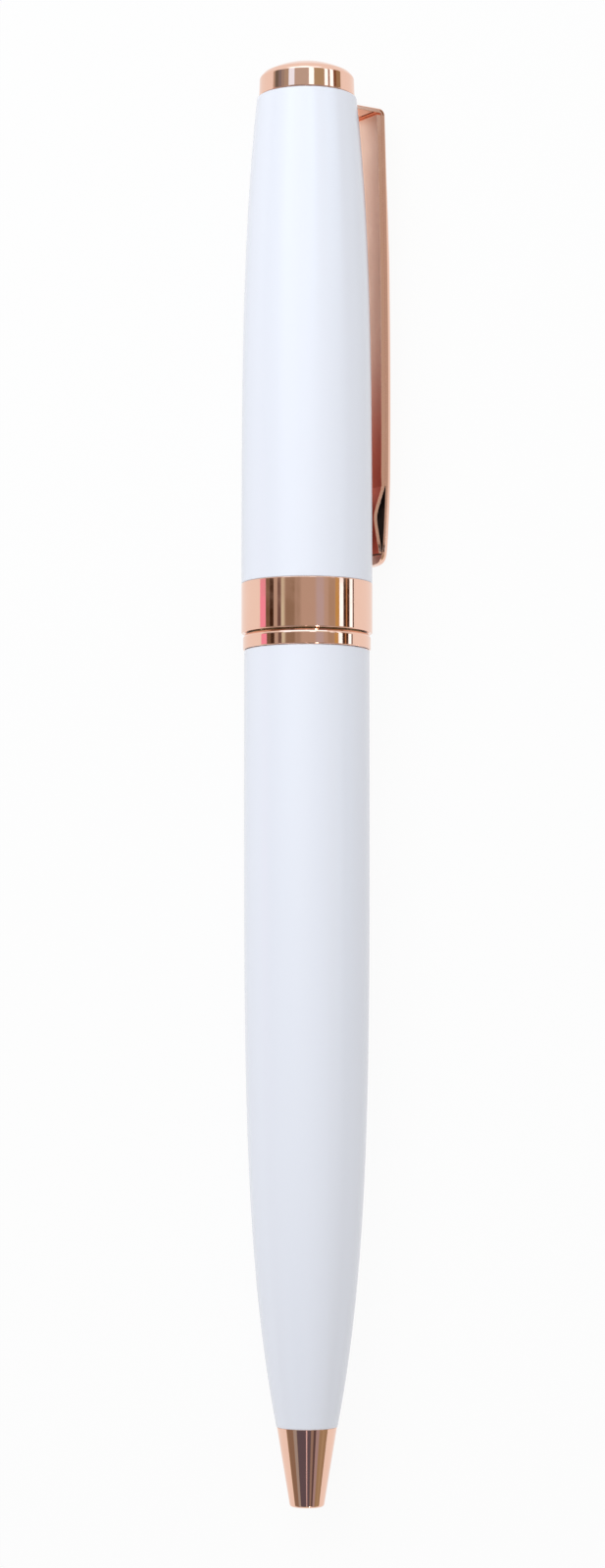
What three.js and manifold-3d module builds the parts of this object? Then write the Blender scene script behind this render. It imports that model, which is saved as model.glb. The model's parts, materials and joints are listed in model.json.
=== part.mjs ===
// Slim twist-action ballpoint pen, lying on its centre band and the edge of its pocket clip.
// Millimetres, +Z up. The pen's axis runs along X: writing end towards -X, crown towards +X.
// Stations called u run along the axis from the front of the tip; radii are measured from the axis.

import * as THREE from 'three';
import { mergeVertices } from 'three/addons/utils/BufferGeometryUtils.js';
import Module from 'manifold-3d';

const wasm = await Module();
wasm.setup();

// Facets round the turned pieces, and steps along their curved outlines
const outerSides = 44;
const innerSides = 32;
const slimSides = 24;
const pinSides = 16;
const lowerSteps = 13;
const lowerCrowding = 1.5;
const lowerBoreSteps = 5;
const lowerBoreCrowding = 1.8;
const upperSteps = 12;
const upperCrowding = 0.75;
const upperBoreSteps = 6;
const domeSteps = 6;
const helixSteps = 24;
const clipCrownFacets = 8;

// Tip cone
const tipLength = 7.4;
const tipFrontRadius = 1.6;
const tipRearRadius = 2.84;
const tipLipRound = 0.28;
const tipBore = 1.27;
const tipSpigotRadius = 2.1;
const tipSpigotLength = 4.2;
const tipChamberBore = 1.7;
const tipChamberDepth = 3.4;
const tipSocketRoom = 0.3;
const tipSocketTaper = 1.0;

// Lower barrel, a drawn tube that swells quickly behind the tip and then runs almost straight
const lowerLength = 73.38;
const lowerFrontRadius = 2.88;
const lowerRearRadius = 5.975;
const lowerSwell = 4.63;
const lowerWall = 0.6;
const lowerNeckDepth = 0.27;

// Thin trim ring at the parting and the wide centre band
const trimRingLength = 1.44;
const trimRingProud = 0.135;
const partingGap = 0.12;
const bandLength = 4.79;
const bandProud = 0.02;
const bandLip = 0.3;
const bandEdge = 0.12;

// Upper barrel
const upperLength = 47.17;
const upperFrontRadius = 6.25;
const upperTopRadius = 4.8;
const upperSwell = 3.4;
const upperWall = 0.65;
const upperNeckDepth = 0.3;
const upperTopRound = 0.12;

// Crown
const crownGap = 0.06;
const crownSideHeight = 1.85;
const crownFootRadius = 4.62;
const crownSideRadius = 4.56;
const crownShoulder = 0.4;
const crownShoulderInset = 0.34;
const crownDomeRise = 1.16;
const crownSpigotLength = 0.25;
const crownSpigotWall = 0.12;
const studRadius = 1.6;
const studLength = 10.6;
const studSeat = 1.5;
const studChamfer = 0.3;
const nutWidth = 6.0;
const nutHeight = 1.8;
const washerRadius = 3.3;
const washerThickness = 0.4;
const insertLength = 3.6;
const insertDrop = 0.3;
const insertHeadEase = 0.03;
const insertFootEase = 0.1;

// Push-fit bush in the mouth of the lower barrel, and the mechanism's nose that enters it
const bushLength = 13.5;
const bushWall = 0.4;
const bushLeadLength = 0.3;
const bushLeadDepth = 0.2;
const noseDepth = 12.0;
const noseChamfer = 0.4;
const noseRibCount = 8;
const noseRibLength = 6.0;
const noseRibWidth = 0.6;
const noseRibHeight = 0.05;
const noseCollarLength = 2.7;
const noseSpigotLength = 5.6;
const noseSpigotWall = 0.5;
const grooveWidth = 0.8;
const grooveDepth = 0.26;
const sealRadius = 0.14;
const sealFacets = 6;
const sealShare = 0.62;

// Cartridge
const pointRecess = 2.0;
const ballRadius = 0.4;
const ballFit = 0.04;
const pointLip = 0.06;
const pointConeLength = 2.4;
const pointTubeRadius = 1.12;
const cartridgeRadius = 2.85;
const cartridgeShoulder = 5.2;
const shoulderClearance = 0.6;
const cartridgeWall = 0.35;
const cartridgeMouthWall = 0.4;
const cartridgeShoulderRun = 0.6;
const pointSeat = 2.0;
const adapterSeat = 2.5;
const adapterFlange = 0.6;
const adapterInset = 0.1;
const adapterThreadRadius = 1.9;
const adapterThreadLength = 4.6;
const threadRunOut = 0.3;

// Propelling mechanism: a pin in a straight slot is driven along by a half-turn helical slot
const travel = 4.7;
const twistAngle = Math.PI;
const pinReach = 17.78;
const pinRadius = 0.5;
const plungerFront = 8.4;
const plungerRear = 3.6;
const plungerChamfer = 0.4;
const guideWall = 0.4;
const guideSeatLength = 8.5;
const guideTail = 7.6;
const camWall = 0.5;
const camMargin = 2.4;
const casingWall = 0.3;
const casingFront = 0.6;
const casingTail = 1.2;
const plugThickness = 1.0;
const plugSkirtLength = 1.0;
const plugSkirtWall = 0.8;
const driveBushLength = 12.0;
const driveBushFront = 5.2;
const driveBushTeeth = 24;
const driveToothDepth = 0.18;
const driveToothCrest = 0.4;
const driveToothFlank = 0.2;
const driveWall = 0.4;
const driveLand = 1.2;

// Fits
const pressFit = 0.05;
const runningFit = 0.1;
const slideFit = 0.15;
const pinFit = 0.1;
const pinHoleFit = 0.03;

// How far a cutting shape runs past what it cuts
const cutOverrun = 0.5;

// Pocket clip: a strip folded double, its inner layer bowed into a contact nose at the lower end
const clipHalfWidth = 2.15;
const clipStrip = 0.47;
const clipSlotBridge = 0.2;
const clipSlotFit = 0.12;
const clipTab = 2.25;
const clipHemRoom = 2.0;
const clipHemGap = 0.06;
const clipBend = 0.22;
const clipLength = 44.57;
const clipBowReach = 16.6;
const clipStandOff = 1.49;
const clipBow = 0.00062;
const clipTopFlat = 0.2;
const clipFlat = 0.33;
const clipTopCrown = 0.27;
const clipCrown = 0.8;
const clipCrownRun = 15.0;
const clipEndDip = 0.35;
const clipEndRun = 8.6;
const clipEndThin = 0.35;
const clipEndSquareness = 4;
const clipEndSweep = 79;
const clipEndSteps = 5;
const clipInnerLayer = 0.5;
const clipInnerInset = 0.06;
const clipNoseReach = 4.5;
const clipNoseGap = 0.1;
const clipNoseLayer = 0.36;
const clipNoseRise = 3.1;
const clipNoseFall = 3.5;
const clipNoseRound = 0.6;
const clipNoseBlend = 2.0;
const clipSeamSink = 0.04;

// Stations along the axis
const uTipRear = tipLength;
const uLowerRear = uTipRear + lowerLength;
const uParting = uLowerRear + trimRingLength;
const uBand = uParting + partingGap;
const uUpperFront = uBand + bandLength;
const uUpperTop = uUpperFront + upperLength;
const uCrown = uUpperTop + crownGap;
const uCrownSide = uCrown + crownSideHeight;
const uCrownShoulder = uCrownSide + crownShoulder;
const uApex = uCrownShoulder + crownDomeRise;

const pinStation = uParting + pinReach;

// Radii of the nested pieces
const trimRingRadius = lowerRearRadius + trimRingProud;
const bandRadius = upperFrontRadius + bandProud;
const lowerNeckRadius = lowerRearRadius - lowerNeckDepth;
const lowerBore = lowerRearRadius - lowerWall;
const bushRadius = lowerBore - pressFit;
const bushBore = bushRadius - bushWall;
const noseRadius = bushBore - runningFit;
const upperNeckRadius = upperFrontRadius - upperNeckDepth;
const guideBore = cartridgeRadius + slideFit;
const guideRadius = guideBore + guideWall;
const noseSpigotRadius = guideRadius + pressFit + noseSpigotWall;
const plungerRadius = guideBore - runningFit;
const camBore = guideRadius + runningFit;
const camRadius = camBore + camWall;
const casingBore = Math.max(camRadius + pressFit, noseSpigotRadius + runningFit);
const casingRadius = casingBore + casingWall;
const driveBore = casingRadius + pressFit;
const upperBore = upperFrontRadius - upperWall;
const driveRadius = upperBore - pressFit;

// Materials
function finish(color, roughness, metalness) {
  return new THREE.MeshStandardMaterial({ color, roughness, metalness });
}
const lacquer = finish(0xf3f5fa, 0.08, 0.0);
const roseGold = finish(0xd9a68c, 0.08, 1.0);
const brass = finish(0xc2a25c, 0.3, 1.0);
const steel = finish(0xb4b6b9, 0.22, 1.0);
const cartridgeMetal = finish(0xc9ccd0, 0.3, 1.0);
const nylon = finish(0xe8e4d8, 0.5, 0.0);
const darkPlastic = finish(0x2a2c30, 0.45, 0.0);
const rubber = finish(0x18191b, 0.7, 0.0);

// Solid from a closed geometry: corners welded, empty triangles dropped, faces turned outwards
function closed(geometry) {
  const bare = geometry.index ? geometry.toNonIndexed() : geometry.clone();
  bare.deleteAttribute('normal');
  bare.deleteAttribute('uv');
  const merged = mergeVertices(bare, 1e-5);
  const position = merged.attributes.position;
  const index = merged.index.array;
  const a = new THREE.Vector3();
  const b = new THREE.Vector3();
  const c = new THREE.Vector3();
  const kept = [];
  let volume = 0;
  for (let i = 0; i < index.length; i += 3) {
    if (index[i] === index[i + 1] || index[i + 1] === index[i + 2] || index[i] === index[i + 2]) continue;
    a.fromBufferAttribute(position, index[i]);
    b.fromBufferAttribute(position, index[i + 1]);
    c.fromBufferAttribute(position, index[i + 2]);
    volume += a.dot(b.cross(c));
    kept.push(index[i], index[i + 1], index[i + 2]);
  }
  if (volume < 0) {
    for (let i = 0; i < kept.length; i += 3) {
      const first = kept[i];
      kept[i] = kept[i + 1];
      kept[i + 1] = first;
    }
  }
  const vertProperties = new Float32Array(position.array);
  const triVerts = new Uint32Array(kept);
  return new wasm.Manifold(new wasm.Mesh({ numProp: 3, vertProperties, triVerts }));
}

// Geometry of a finished solid
function surface(solid) {
  const mesh = solid.getMesh();
  const geometry = new THREE.BufferGeometry();
  const points = [];
  for (let i = 0; i < mesh.vertProperties.length; i += mesh.numProp) {
    points.push(mesh.vertProperties[i], mesh.vertProperties[i + 1], mesh.vertProperties[i + 2]);
  }
  geometry.setAttribute('position', new THREE.Float32BufferAttribute(points, 3));
  geometry.setIndex(Array.from(mesh.triVerts));
  geometry.computeVertexNormals();
  return geometry;
}

// A revolve about the pen's axis of a profile of [station, radius] pairs
function turned(profile, sides) {
  const points = profile.map(([u, r]) => new THREE.Vector2(r, u));
  const onAxis = profile[0][1] === 0 && profile[profile.length - 1][1] === 0;
  if (!onAxis) points.push(points[0].clone());
  const geometry = new THREE.LatheGeometry(points, sides);
  geometry.rotateZ(-Math.PI / 2);
  return closed(geometry);
}

function tube(from, to, bore, radius, sides) {
  return turned([[from, bore], [to, bore], [to, radius], [from, radius]], sides);
}

function rod(from, to, radius, sides) {
  return turned([[from, 0], [from, radius], [to, radius], [to, 0]], sides);
}

// A plain box between two stations, centred across the width, from one radial height to another
function block(from, to, width, low, high) {
  const geometry = new THREE.BoxGeometry(to - from, width, high - low);
  geometry.translate((from + to) / 2, 0, (low + high) / 2);
  return closed(geometry);
}

// A round peg along the local +Z direction
function peg(u, radius, low, high, sides) {
  const geometry = new THREE.CylinderGeometry(radius, radius, high - low, sides);
  geometry.rotateX(Math.PI / 2);
  geometry.translate(u, 0, (low + high) / 2);
  return closed(geometry);
}

// A loft through rings of points, closed with a fan at each end
function loft(rings) {
  const count = rings[0].length;
  const points = [];
  const faces = [];
  for (const ring of rings) {
    for (const p of ring) points.push(p.x, p.y, p.z);
  }
  for (let i = 0; i + 1 < rings.length; i += 1) {
    for (let k = 0; k < count; k += 1) {
      const next = (k + 1) % count;
      const a = i * count + k;
      const b = i * count + next;
      const c = (i + 1) * count + next;
      const d = (i + 1) * count + k;
      faces.push(a, b, c, a, c, d);
    }
  }
  const last = (rings.length - 1) * count;
  for (let k = 1; k + 1 < count; k += 1) {
    faces.push(0, k + 1, k);
    faces.push(last, last + k, last + k + 1);
  }
  const geometry = new THREE.BufferGeometry();
  geometry.setAttribute('position', new THREE.Float32BufferAttribute(points, 3));
  geometry.setIndex(faces);
  return closed(geometry);
}

// Outlines of the two barrels
function lowerOutline(u) {
  const t = Math.max(0, (uLowerRear - u) / lowerLength);
  return lowerRearRadius - (lowerRearRadius - lowerFrontRadius) * t ** lowerSwell;
}

function upperOutline(u) {
  const t = Math.max(0, (u - uUpperFront) / upperLength);
  return upperFrontRadius - (upperFrontRadius - upperTopRadius) * t ** upperSwell;
}

function upperInside(u) {
  return Math.min(upperBore, upperOutline(u) - upperWall);
}

function steps(from, to, count) {
  const list = [];
  for (let i = 0; i <= count; i += 1) list.push(from + (to - from) * (i / count));
  return list;
}

// Steps that crowd towards the start where the power is over 1, and towards the end where it is under 1
function crowded(from, to, count, power) {
  return steps(0, 1, count).map((t) => from + (to - from) * t ** power);
}

// An arc of [station, radius] pairs about a centre, from one angle to another in degrees
function arc(u, r, radius, from, to, count) {
  return steps(from, to, count).map((degrees) => {
    const a = THREE.MathUtils.degToRad(degrees);
    return [u + radius * Math.cos(a), r + radius * Math.sin(a)];
  });
}

// Tip cone: rounded lip, straight flank, stepped bore and a spigot that enters the lower barrel
function tipCone() {
  const flank = (tipRearRadius - tipFrontRadius) / tipLength;
  const lip = arc(tipLipRound, tipFrontRadius - tipLipRound + flank * tipLipRound, tipLipRound, 180, 90, 4);
  const spigotEnd = uTipRear + tipSpigotLength;
  return turned([
    [0, tipBore],
    ...lip,
    [uTipRear, tipRearRadius],
    [uTipRear, tipSpigotRadius],
    [spigotEnd, tipSpigotRadius],
    [spigotEnd, tipChamberBore],
    [tipChamberDepth + tipChamberBore - tipBore, tipChamberBore],
    [tipChamberDepth, tipBore],
  ], innerSides);
}

// Lower barrel: swelling outline, an even wall behind the spigot's socket and a neck for the trim ring
function lowerBarrel() {
  const outside = crowded(uTipRear, uLowerRear, lowerSteps, lowerCrowding);
  const socket = tipSpigotRadius + pressFit;
  const socketEnd = uTipRear + tipSpigotLength + tipSocketRoom;
  const inside = crowded(socketEnd, uLowerRear, lowerBoreSteps, lowerBoreCrowding).slice(1).reverse();
  return turned([
    ...outside.map((u) => [u, lowerOutline(u)]),
    [uLowerRear, lowerNeckRadius],
    [uParting, lowerNeckRadius],
    [uParting, lowerBore],
    ...inside.map((u) => [u, Math.max(guideBore, lowerOutline(u) - lowerWall)]),
    [socketEnd + tipSocketTaper, guideBore],
    [socketEnd, socket],
    [uTipRear, socket],
  ], outerSides);
}

function trimRing() {
  const inside = lowerNeckRadius + pressFit;
  return turned([
    [uLowerRear, inside],
    [uParting, inside],
    [uParting, trimRingRadius - bandEdge],
    [uParting - bandEdge, trimRingRadius],
    [uLowerRear + bandEdge, trimRingRadius],
    [uLowerRear, trimRingRadius - bandEdge],
  ], outerSides);
}

// Centre band: slipped over the barrel's neck, with a lip that covers the neck's end
function centreBand() {
  const inside = upperNeckRadius + pressFit;
  return turned([
    [uBand, upperBore],
    [uBand + bandLip, upperBore],
    [uBand + bandLip, inside],
    [uUpperFront, inside],
    [uUpperFront, bandRadius - bandEdge],
    [uUpperFront - bandEdge, bandRadius],
    [uBand + bandEdge, bandRadius],
    [uBand, bandRadius - bandEdge],
  ], outerSides);
}

// Where the clip's arm passes through the upper barrel
const slotTop = uUpperTop - clipSlotBridge;
const armTop = slotTop - clipSlotFit;
const armUnder = armTop - clipStrip;
const slotFoot = armUnder - clipSlotFit;
const clipEnd = armTop - clipLength;
const clipNoseStation = clipEnd + clipNoseReach;
const clipBowStation = clipEnd + clipBowReach;
const clipBowRadius = upperFrontRadius + clipStandOff;

// Upper barrel: neck for the band, narrowing outline, straight bore behind the drive bush and the clip's slot
function upperBarrel() {
  const neckFront = uBand + bandLip;
  const outside = crowded(uUpperFront, uUpperTop - upperTopRound, upperSteps, upperCrowding);
  const boreEnd = uDriveRear + runningFit;
  const inside = steps(uUpperTop, boreEnd, upperBoreSteps).slice(0, -1);
  const body = turned([
    [neckFront, upperBore],
    [neckFront, upperNeckRadius],
    [uUpperFront, upperNeckRadius],
    ...outside.map((u) => [u, upperOutline(u)]),
    [uUpperTop, upperTopRadius - upperTopRound],
    ...inside.map((u) => [u, upperInside(u)]),
    [boreEnd, upperBore],
  ], outerSides);
  const width = 2 * (clipHalfWidth + clipSlotFit);
  const deepest = -upperFrontRadius - cutOverrun;
  return body.subtract(block(slotFoot, slotTop, width, deepest, -studRadius - pressFit));
}

// Crown: low dome on a plain side, blind socket for the stud, short spigot inside the barrel
function crown() {
  const seat = uCrown + studSeat;
  const spigotRadius = upperOutline(uUpperTop) - upperWall - crownSpigotWall;
  const socket = studRadius + pressFit;
  const shoulderRadius = crownSideRadius - crownShoulderInset;
  const shoulder = [0, Math.PI / 4].map((a) => {
    const inset = crownShoulderInset * (1 - Math.cos(a));
    return [uCrownSide + crownShoulder * Math.sin(a), crownSideRadius - inset];
  });
  const domeRadius = (shoulderRadius ** 2 + crownDomeRise ** 2) / (2 * crownDomeRise);
  const openAngle = THREE.MathUtils.radToDeg(Math.asin(shoulderRadius / domeRadius));
  const dome = arc(uApex - domeRadius, 0, domeRadius, openAngle, 0, domeSteps);
  dome[domeSteps][1] = 0;
  return turned([
    [seat, 0],
    [seat, socket],
    [uCrown - crownSpigotLength, socket],
    [uCrown - crownSpigotLength, spigotRadius],
    [uCrown, spigotRadius],
    [uCrown, crownFootRadius],
    ...shoulder,
    ...dome,
  ], outerSides);
}

const uInsertTop = slotFoot - insertDrop + clipSlotFit;
const uInsertFoot = uInsertTop - insertLength;

// Insert in the top of the barrel: the clip's arm lies over it, and the nut draws it up
function topInsert() {
  const hole = studRadius + runningFit;
  const foot = upperInside(uInsertFoot) - pressFit;
  const head = upperInside(uInsertTop) - pressFit;
  return turned([
    [uInsertFoot, hole],
    [uInsertTop, hole],
    [uInsertTop, head - insertHeadEase],
    [uInsertFoot, foot - insertFootEase],
  ], innerSides);
}

function washer() {
  return tube(uInsertFoot - washerThickness, uInsertFoot, studRadius + runningFit, washerRadius, slimSides);
}

function nut() {
  const top = uInsertFoot - washerThickness;
  const foot = top - nutHeight;
  const cornerRadius = nutWidth / Math.sqrt(3);
  const hexagon = new THREE.CylinderGeometry(cornerRadius, cornerRadius, nutHeight, 6);
  hexagon.rotateZ(-Math.PI / 2);
  hexagon.translate((top + foot) / 2, 0, 0);
  const hole = rod(foot - cutOverrun, top + cutOverrun, studRadius + pressFit, slimSides);
  return closed(hexagon).subtract(hole);
}

function stud() {
  const head = uCrown + studSeat - pressFit;
  const foot = head - studLength;
  return turned([
    [foot, 0],
    [foot, studRadius - studChamfer],
    [foot + studChamfer, studRadius],
    [head, studRadius],
    [head, 0],
  ], slimSides);
}

// Bush pressed into the mouth of the lower barrel
function barrelBush() {
  return turned([
    [uParting - bushLength, bushBore],
    [uParting - bushLeadLength, bushBore],
    [uParting, bushBore + bushLeadDepth],
    [uParting, bushRadius],
    [uParting - bushLength, bushRadius],
  ], innerSides);
}

const uNoseFront = uParting - noseDepth;
const uCollarRear = uBand + noseCollarLength;
const uSpigotRear = uCollarRear + noseSpigotLength;
const uGuideFront = uSpigotRear - guideSeatLength;
const uSeal = uCollarRear + sealShare * noseSpigotLength;

// Nose of the mechanism: ribbed push-fit barrel, locating collar and a bearing spigot with a seal groove
function nose() {
  const seat = guideRadius + pressFit;
  const collar = upperBore - runningFit;
  const grooveFoot = noseSpigotRadius - grooveDepth;
  let body = turned([
    [uNoseFront, guideBore],
    [uGuideFront - pressFit, guideBore],
    [uGuideFront - pressFit, seat],
    [uSpigotRear, seat],
    [uSpigotRear, noseSpigotRadius],
    [uSeal + grooveWidth / 2, noseSpigotRadius],
    [uSeal + grooveWidth / 2, grooveFoot],
    [uSeal - grooveWidth / 2, grooveFoot],
    [uSeal - grooveWidth / 2, noseSpigotRadius],
    [uCollarRear, noseSpigotRadius],
    [uCollarRear, collar],
    [uParting + partingGap / 2, collar],
    [uParting + partingGap / 2, noseRadius],
    [uNoseFront + noseChamfer, noseRadius],
    [uNoseFront, noseRadius - noseChamfer],
  ], innerSides);
  const start = uNoseFront + 2 * noseChamfer;
  const root = (guideBore + noseRadius) / 2;
  for (let i = 0; i < noseRibCount; i += 1) {
    const rib = block(start, start + noseRibLength, noseRibWidth, root, noseRadius + noseRibHeight);
    body = body.add(rib.rotate([(360 * (i + 0.5)) / noseRibCount, 0, 0]));
  }
  return body;
}

// Rubber ring that gives the twist its drag
function seal() {
  const centre = noseSpigotRadius - grooveDepth + pressFit + sealRadius;
  return turned(arc(uSeal, centre, sealRadius, 0, 360 - 360 / sealFacets, sealFacets - 1), innerSides);
}

const uPinExtended = pinStation - travel;
const pinFoot = -plungerRadius / 2;
const slotHalf = pinRadius + pinFit;
const uGuideRear = pinStation + guideTail;

// Guide tube with the straight slot that keeps the pin from turning
function guideTube() {
  const body = tube(uGuideFront, uGuideRear, guideBore, guideRadius, innerSides);
  const low = guideBore - cutOverrun;
  const high = guideRadius + cutOverrun;
  return body
    .subtract(block(uPinExtended, pinStation, 2 * slotHalf, low, high))
    .subtract(peg(uPinExtended, slotHalf, low, high, pinSides))
    .subtract(peg(pinStation, slotHalf, low, high, pinSides));
}

// A half-turn band that follows the helix, wide enough for the pin
function helicalCutter(low, high) {
  const lead = travel / twistAngle;
  const mean = (camBore + camRadius) / 2;
  const half = slotHalf / Math.cos(Math.atan(lead / mean));
  const section = [[low, -half], [low, half], [high, half], [high, -half]];
  return loft(steps(0, twistAngle, helixSteps).map((angle) => {
    const u = pinStation - lead * angle;
    return section.map(([r, side]) => new THREE.Vector3(u + side, -r * Math.sin(angle), r * Math.cos(angle)));
  }));
}

// Cam sleeve with the helical slot; it turns with the upper barrel
function camSleeve() {
  const front = uPinExtended - camMargin;
  const rear = pinStation + camMargin;
  const low = camBore - cutOverrun;
  const high = camRadius + cutOverrun;
  const halfTurn = THREE.MathUtils.radToDeg(twistAngle);
  const end = peg(uPinExtended, slotHalf, low, high, pinSides).rotate([halfTurn, 0, 0]);
  return tube(front, rear, camBore, camRadius, innerSides)
    .subtract(helicalCutter(low, high))
    .subtract(peg(pinStation, slotHalf, low, high, pinSides))
    .subtract(end);
}

const uCasingFront = uCollarRear + casingFront;
const uDriveFront = uCasingFront + driveBushFront;
const uDriveRear = uDriveFront + driveBushLength;
const uCasingRear = uGuideRear + casingTail + plugThickness;

function casing() {
  return tube(uCasingFront, uCasingRear, casingBore, casingRadius, innerSides);
}

// Cup that closes the casing, its skirt pressed into the bore
function casingPlug() {
  const front = uCasingRear - plugThickness;
  const skirt = casingBore - pressFit;
  return turned([
    [front, 0],
    [front, skirt - plugSkirtWall],
    [front - plugSkirtLength, skirt - plugSkirtWall],
    [front - plugSkirtLength, skirt],
    [uCasingRear, skirt],
    [uCasingRear, 0],
  ], innerSides);
}

// Toothed bush that locks the casing to the upper barrel. A land at each end grips the casing, and a tooth's
// crest and flank are shares of the pitch
function driveBush() {
  const rootRadius = driveRadius - driveToothDepth;
  const tooth = [
    [0, driveRadius],
    [driveToothCrest, driveRadius],
    [driveToothCrest + driveToothFlank, rootRadius],
    [1 - driveToothFlank, rootRadius],
  ];
  const outline = [];
  for (let i = 0; i < driveBushTeeth; i += 1) {
    for (const [share, radius] of tooth) {
      const a = (2 * Math.PI * (i + share)) / driveBushTeeth;
      outline.push(new THREE.Vector2(radius * Math.cos(a), radius * Math.sin(a)));
    }
  }
  const bore = [];
  for (let i = 0; i < innerSides; i += 1) {
    const a = (-2 * Math.PI * i) / innerSides;
    bore.push(new THREE.Vector2(driveBore * Math.cos(a), driveBore * Math.sin(a)));
  }
  const shape = new THREE.Shape(outline);
  shape.holes.push(new THREE.Path(bore));
  const geometry = new THREE.ExtrudeGeometry(shape, { depth: driveBushLength, bevelEnabled: false });
  geometry.rotateY(Math.PI / 2);
  geometry.translate(uDriveFront, 0, 0);
  const relief = rod(uDriveFront + driveLand, uDriveRear - driveLand, rootRadius - driveWall, pinSides);
  return closed(geometry).subtract(relief);
}

// Plunger: threaded socket in front for the cartridge, cross hole for the pin
function plunger() {
  const front = pinStation - plungerFront;
  const rear = pinStation + plungerRear;
  const socket = adapterThreadRadius + pressFit;
  const socketEnd = front + adapterThreadLength + threadRunOut;
  const body = turned([
    [socketEnd, 0],
    [socketEnd, socket],
    [front, socket],
    [front, plungerRadius],
    [rear - plungerChamfer, plungerRadius],
    [rear, plungerRadius - plungerChamfer],
    [rear, 0],
  ], innerSides);
  const hole = peg(pinStation, pinRadius + pinHoleFit, pinFoot, plungerRadius + cutOverrun, pinSides);
  return body.subtract(hole);
}

// Pin through the plunger, the straight slot and the helical slot
function followerPin() {
  return peg(pinStation, pinRadius, pinFoot + pressFit, camRadius - pressFit, pinSides);
}

// Cartridge: writing ball, point, metal tube and the threaded end
const uPoint = pointRecess;
const uPointTubeRear = uTipRear + tipSpigotLength + travel + shoulderClearance;
const uShoulderRear = uPointTubeRear + cartridgeShoulder;
const uAdapterFlange = pinStation - plungerFront - pinFit;
const cartridgeEnd = uAdapterFlange - adapterFlange;

function writingBall() {
  const count = 8;
  const profile = arc(uPoint + ballRadius, 0, ballRadius, 180, 0, count);
  profile[0][1] = 0;
  profile[count][1] = 0;
  return turned(profile, pinSides);
}

function pointPiece() {
  const cup = uPoint + ballRadius;
  const mouth = ballRadius + ballFit;
  return turned([
    [cup + mouth, 0],
    [cup + mouth, mouth],
    [cup, mouth],
    [cup, mouth + pointLip],
    [uPoint + pointConeLength, pointTubeRadius],
    [uPointTubeRear + pointSeat, pointTubeRadius],
    [uPointTubeRear + pointSeat, 0],
  ], slimSides);
}

function cartridgeTube() {
  const socket = pointTubeRadius + pressFit;
  const inside = cartridgeRadius - cartridgeWall;
  return turned([
    [uPointTubeRear, socket],
    [uPointTubeRear, socket + cartridgeMouthWall],
    [uShoulderRear, cartridgeRadius],
    [cartridgeEnd, cartridgeRadius],
    [cartridgeEnd, inside],
    [uShoulderRear + cartridgeShoulderRun, inside],
    [uPointTubeRear + pointSeat + pressFit, socket],
  ], innerSides);
}

// Threaded end that screws into the plunger
function adapter() {
  const inside = cartridgeRadius - cartridgeWall - pressFit;
  const threadRear = pinStation - plungerFront + adapterThreadLength;
  return turned([
    [cartridgeEnd - adapterSeat, 0],
    [cartridgeEnd - adapterSeat, inside],
    [cartridgeEnd, inside],
    [cartridgeEnd, cartridgeRadius - adapterInset],
    [uAdapterFlange, cartridgeRadius - adapterInset],
    [uAdapterFlange, adapterThreadRadius],
    [threadRear, adapterThreadRadius],
    [threadRear, 0],
  ], innerSides);
}

// Seam line of the folded strip: a gentle bow with a dip at the lower end
function seamDip(u) {
  return Math.max(0, (clipEnd + clipEndRun - u) / clipEndRun);
}

function seamRadius(u) {
  return clipBowRadius - clipBow * (u - clipBowStation) ** 2 - clipEndDip * seamDip(u) ** 1.5;
}

function seamNormal(u) {
  const slope = -2 * clipBow * (u - clipBowStation) + (1.5 * clipEndDip * seamDip(u) ** 0.5) / clipEndRun;
  return new THREE.Vector2(-slope, 1).normalize();
}

// Ring of points of a strip section: flat base, square flanks and an elliptical crown
function crownedSection(at, normal, half, flat, rise) {
  const crest = steps(0, Math.PI, clipCrownFacets).map((a) => {
    return [half * Math.cos(a), flat + rise * Math.sin(a)];
  });
  const section = [[half, 0], ...crest, [-half, 0]];
  return section.map(([side, n]) => new THREE.Vector3(at.x + n * normal.x, side, -(at.y + n * normal.y)));
}

// Ring of points of a flat strip section between two heights over the seam
function flatSection(u, radius, half, low, high) {
  const section = [[half, low], [half, high], [-half, high], [-half, low]];
  return section.map(([side, n]) => new THREE.Vector3(u, side, -(radius + n)));
}

// The clip's lower end is a square with well rounded corners in plan
function endHalfWidth(u) {
  const share = Math.min(1, Math.max(0, (clipEnd + clipHalfWidth - u) / clipHalfWidth));
  return clipHalfWidth * (1 - share ** clipEndSquareness) ** (1 / clipEndSquareness);
}

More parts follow.
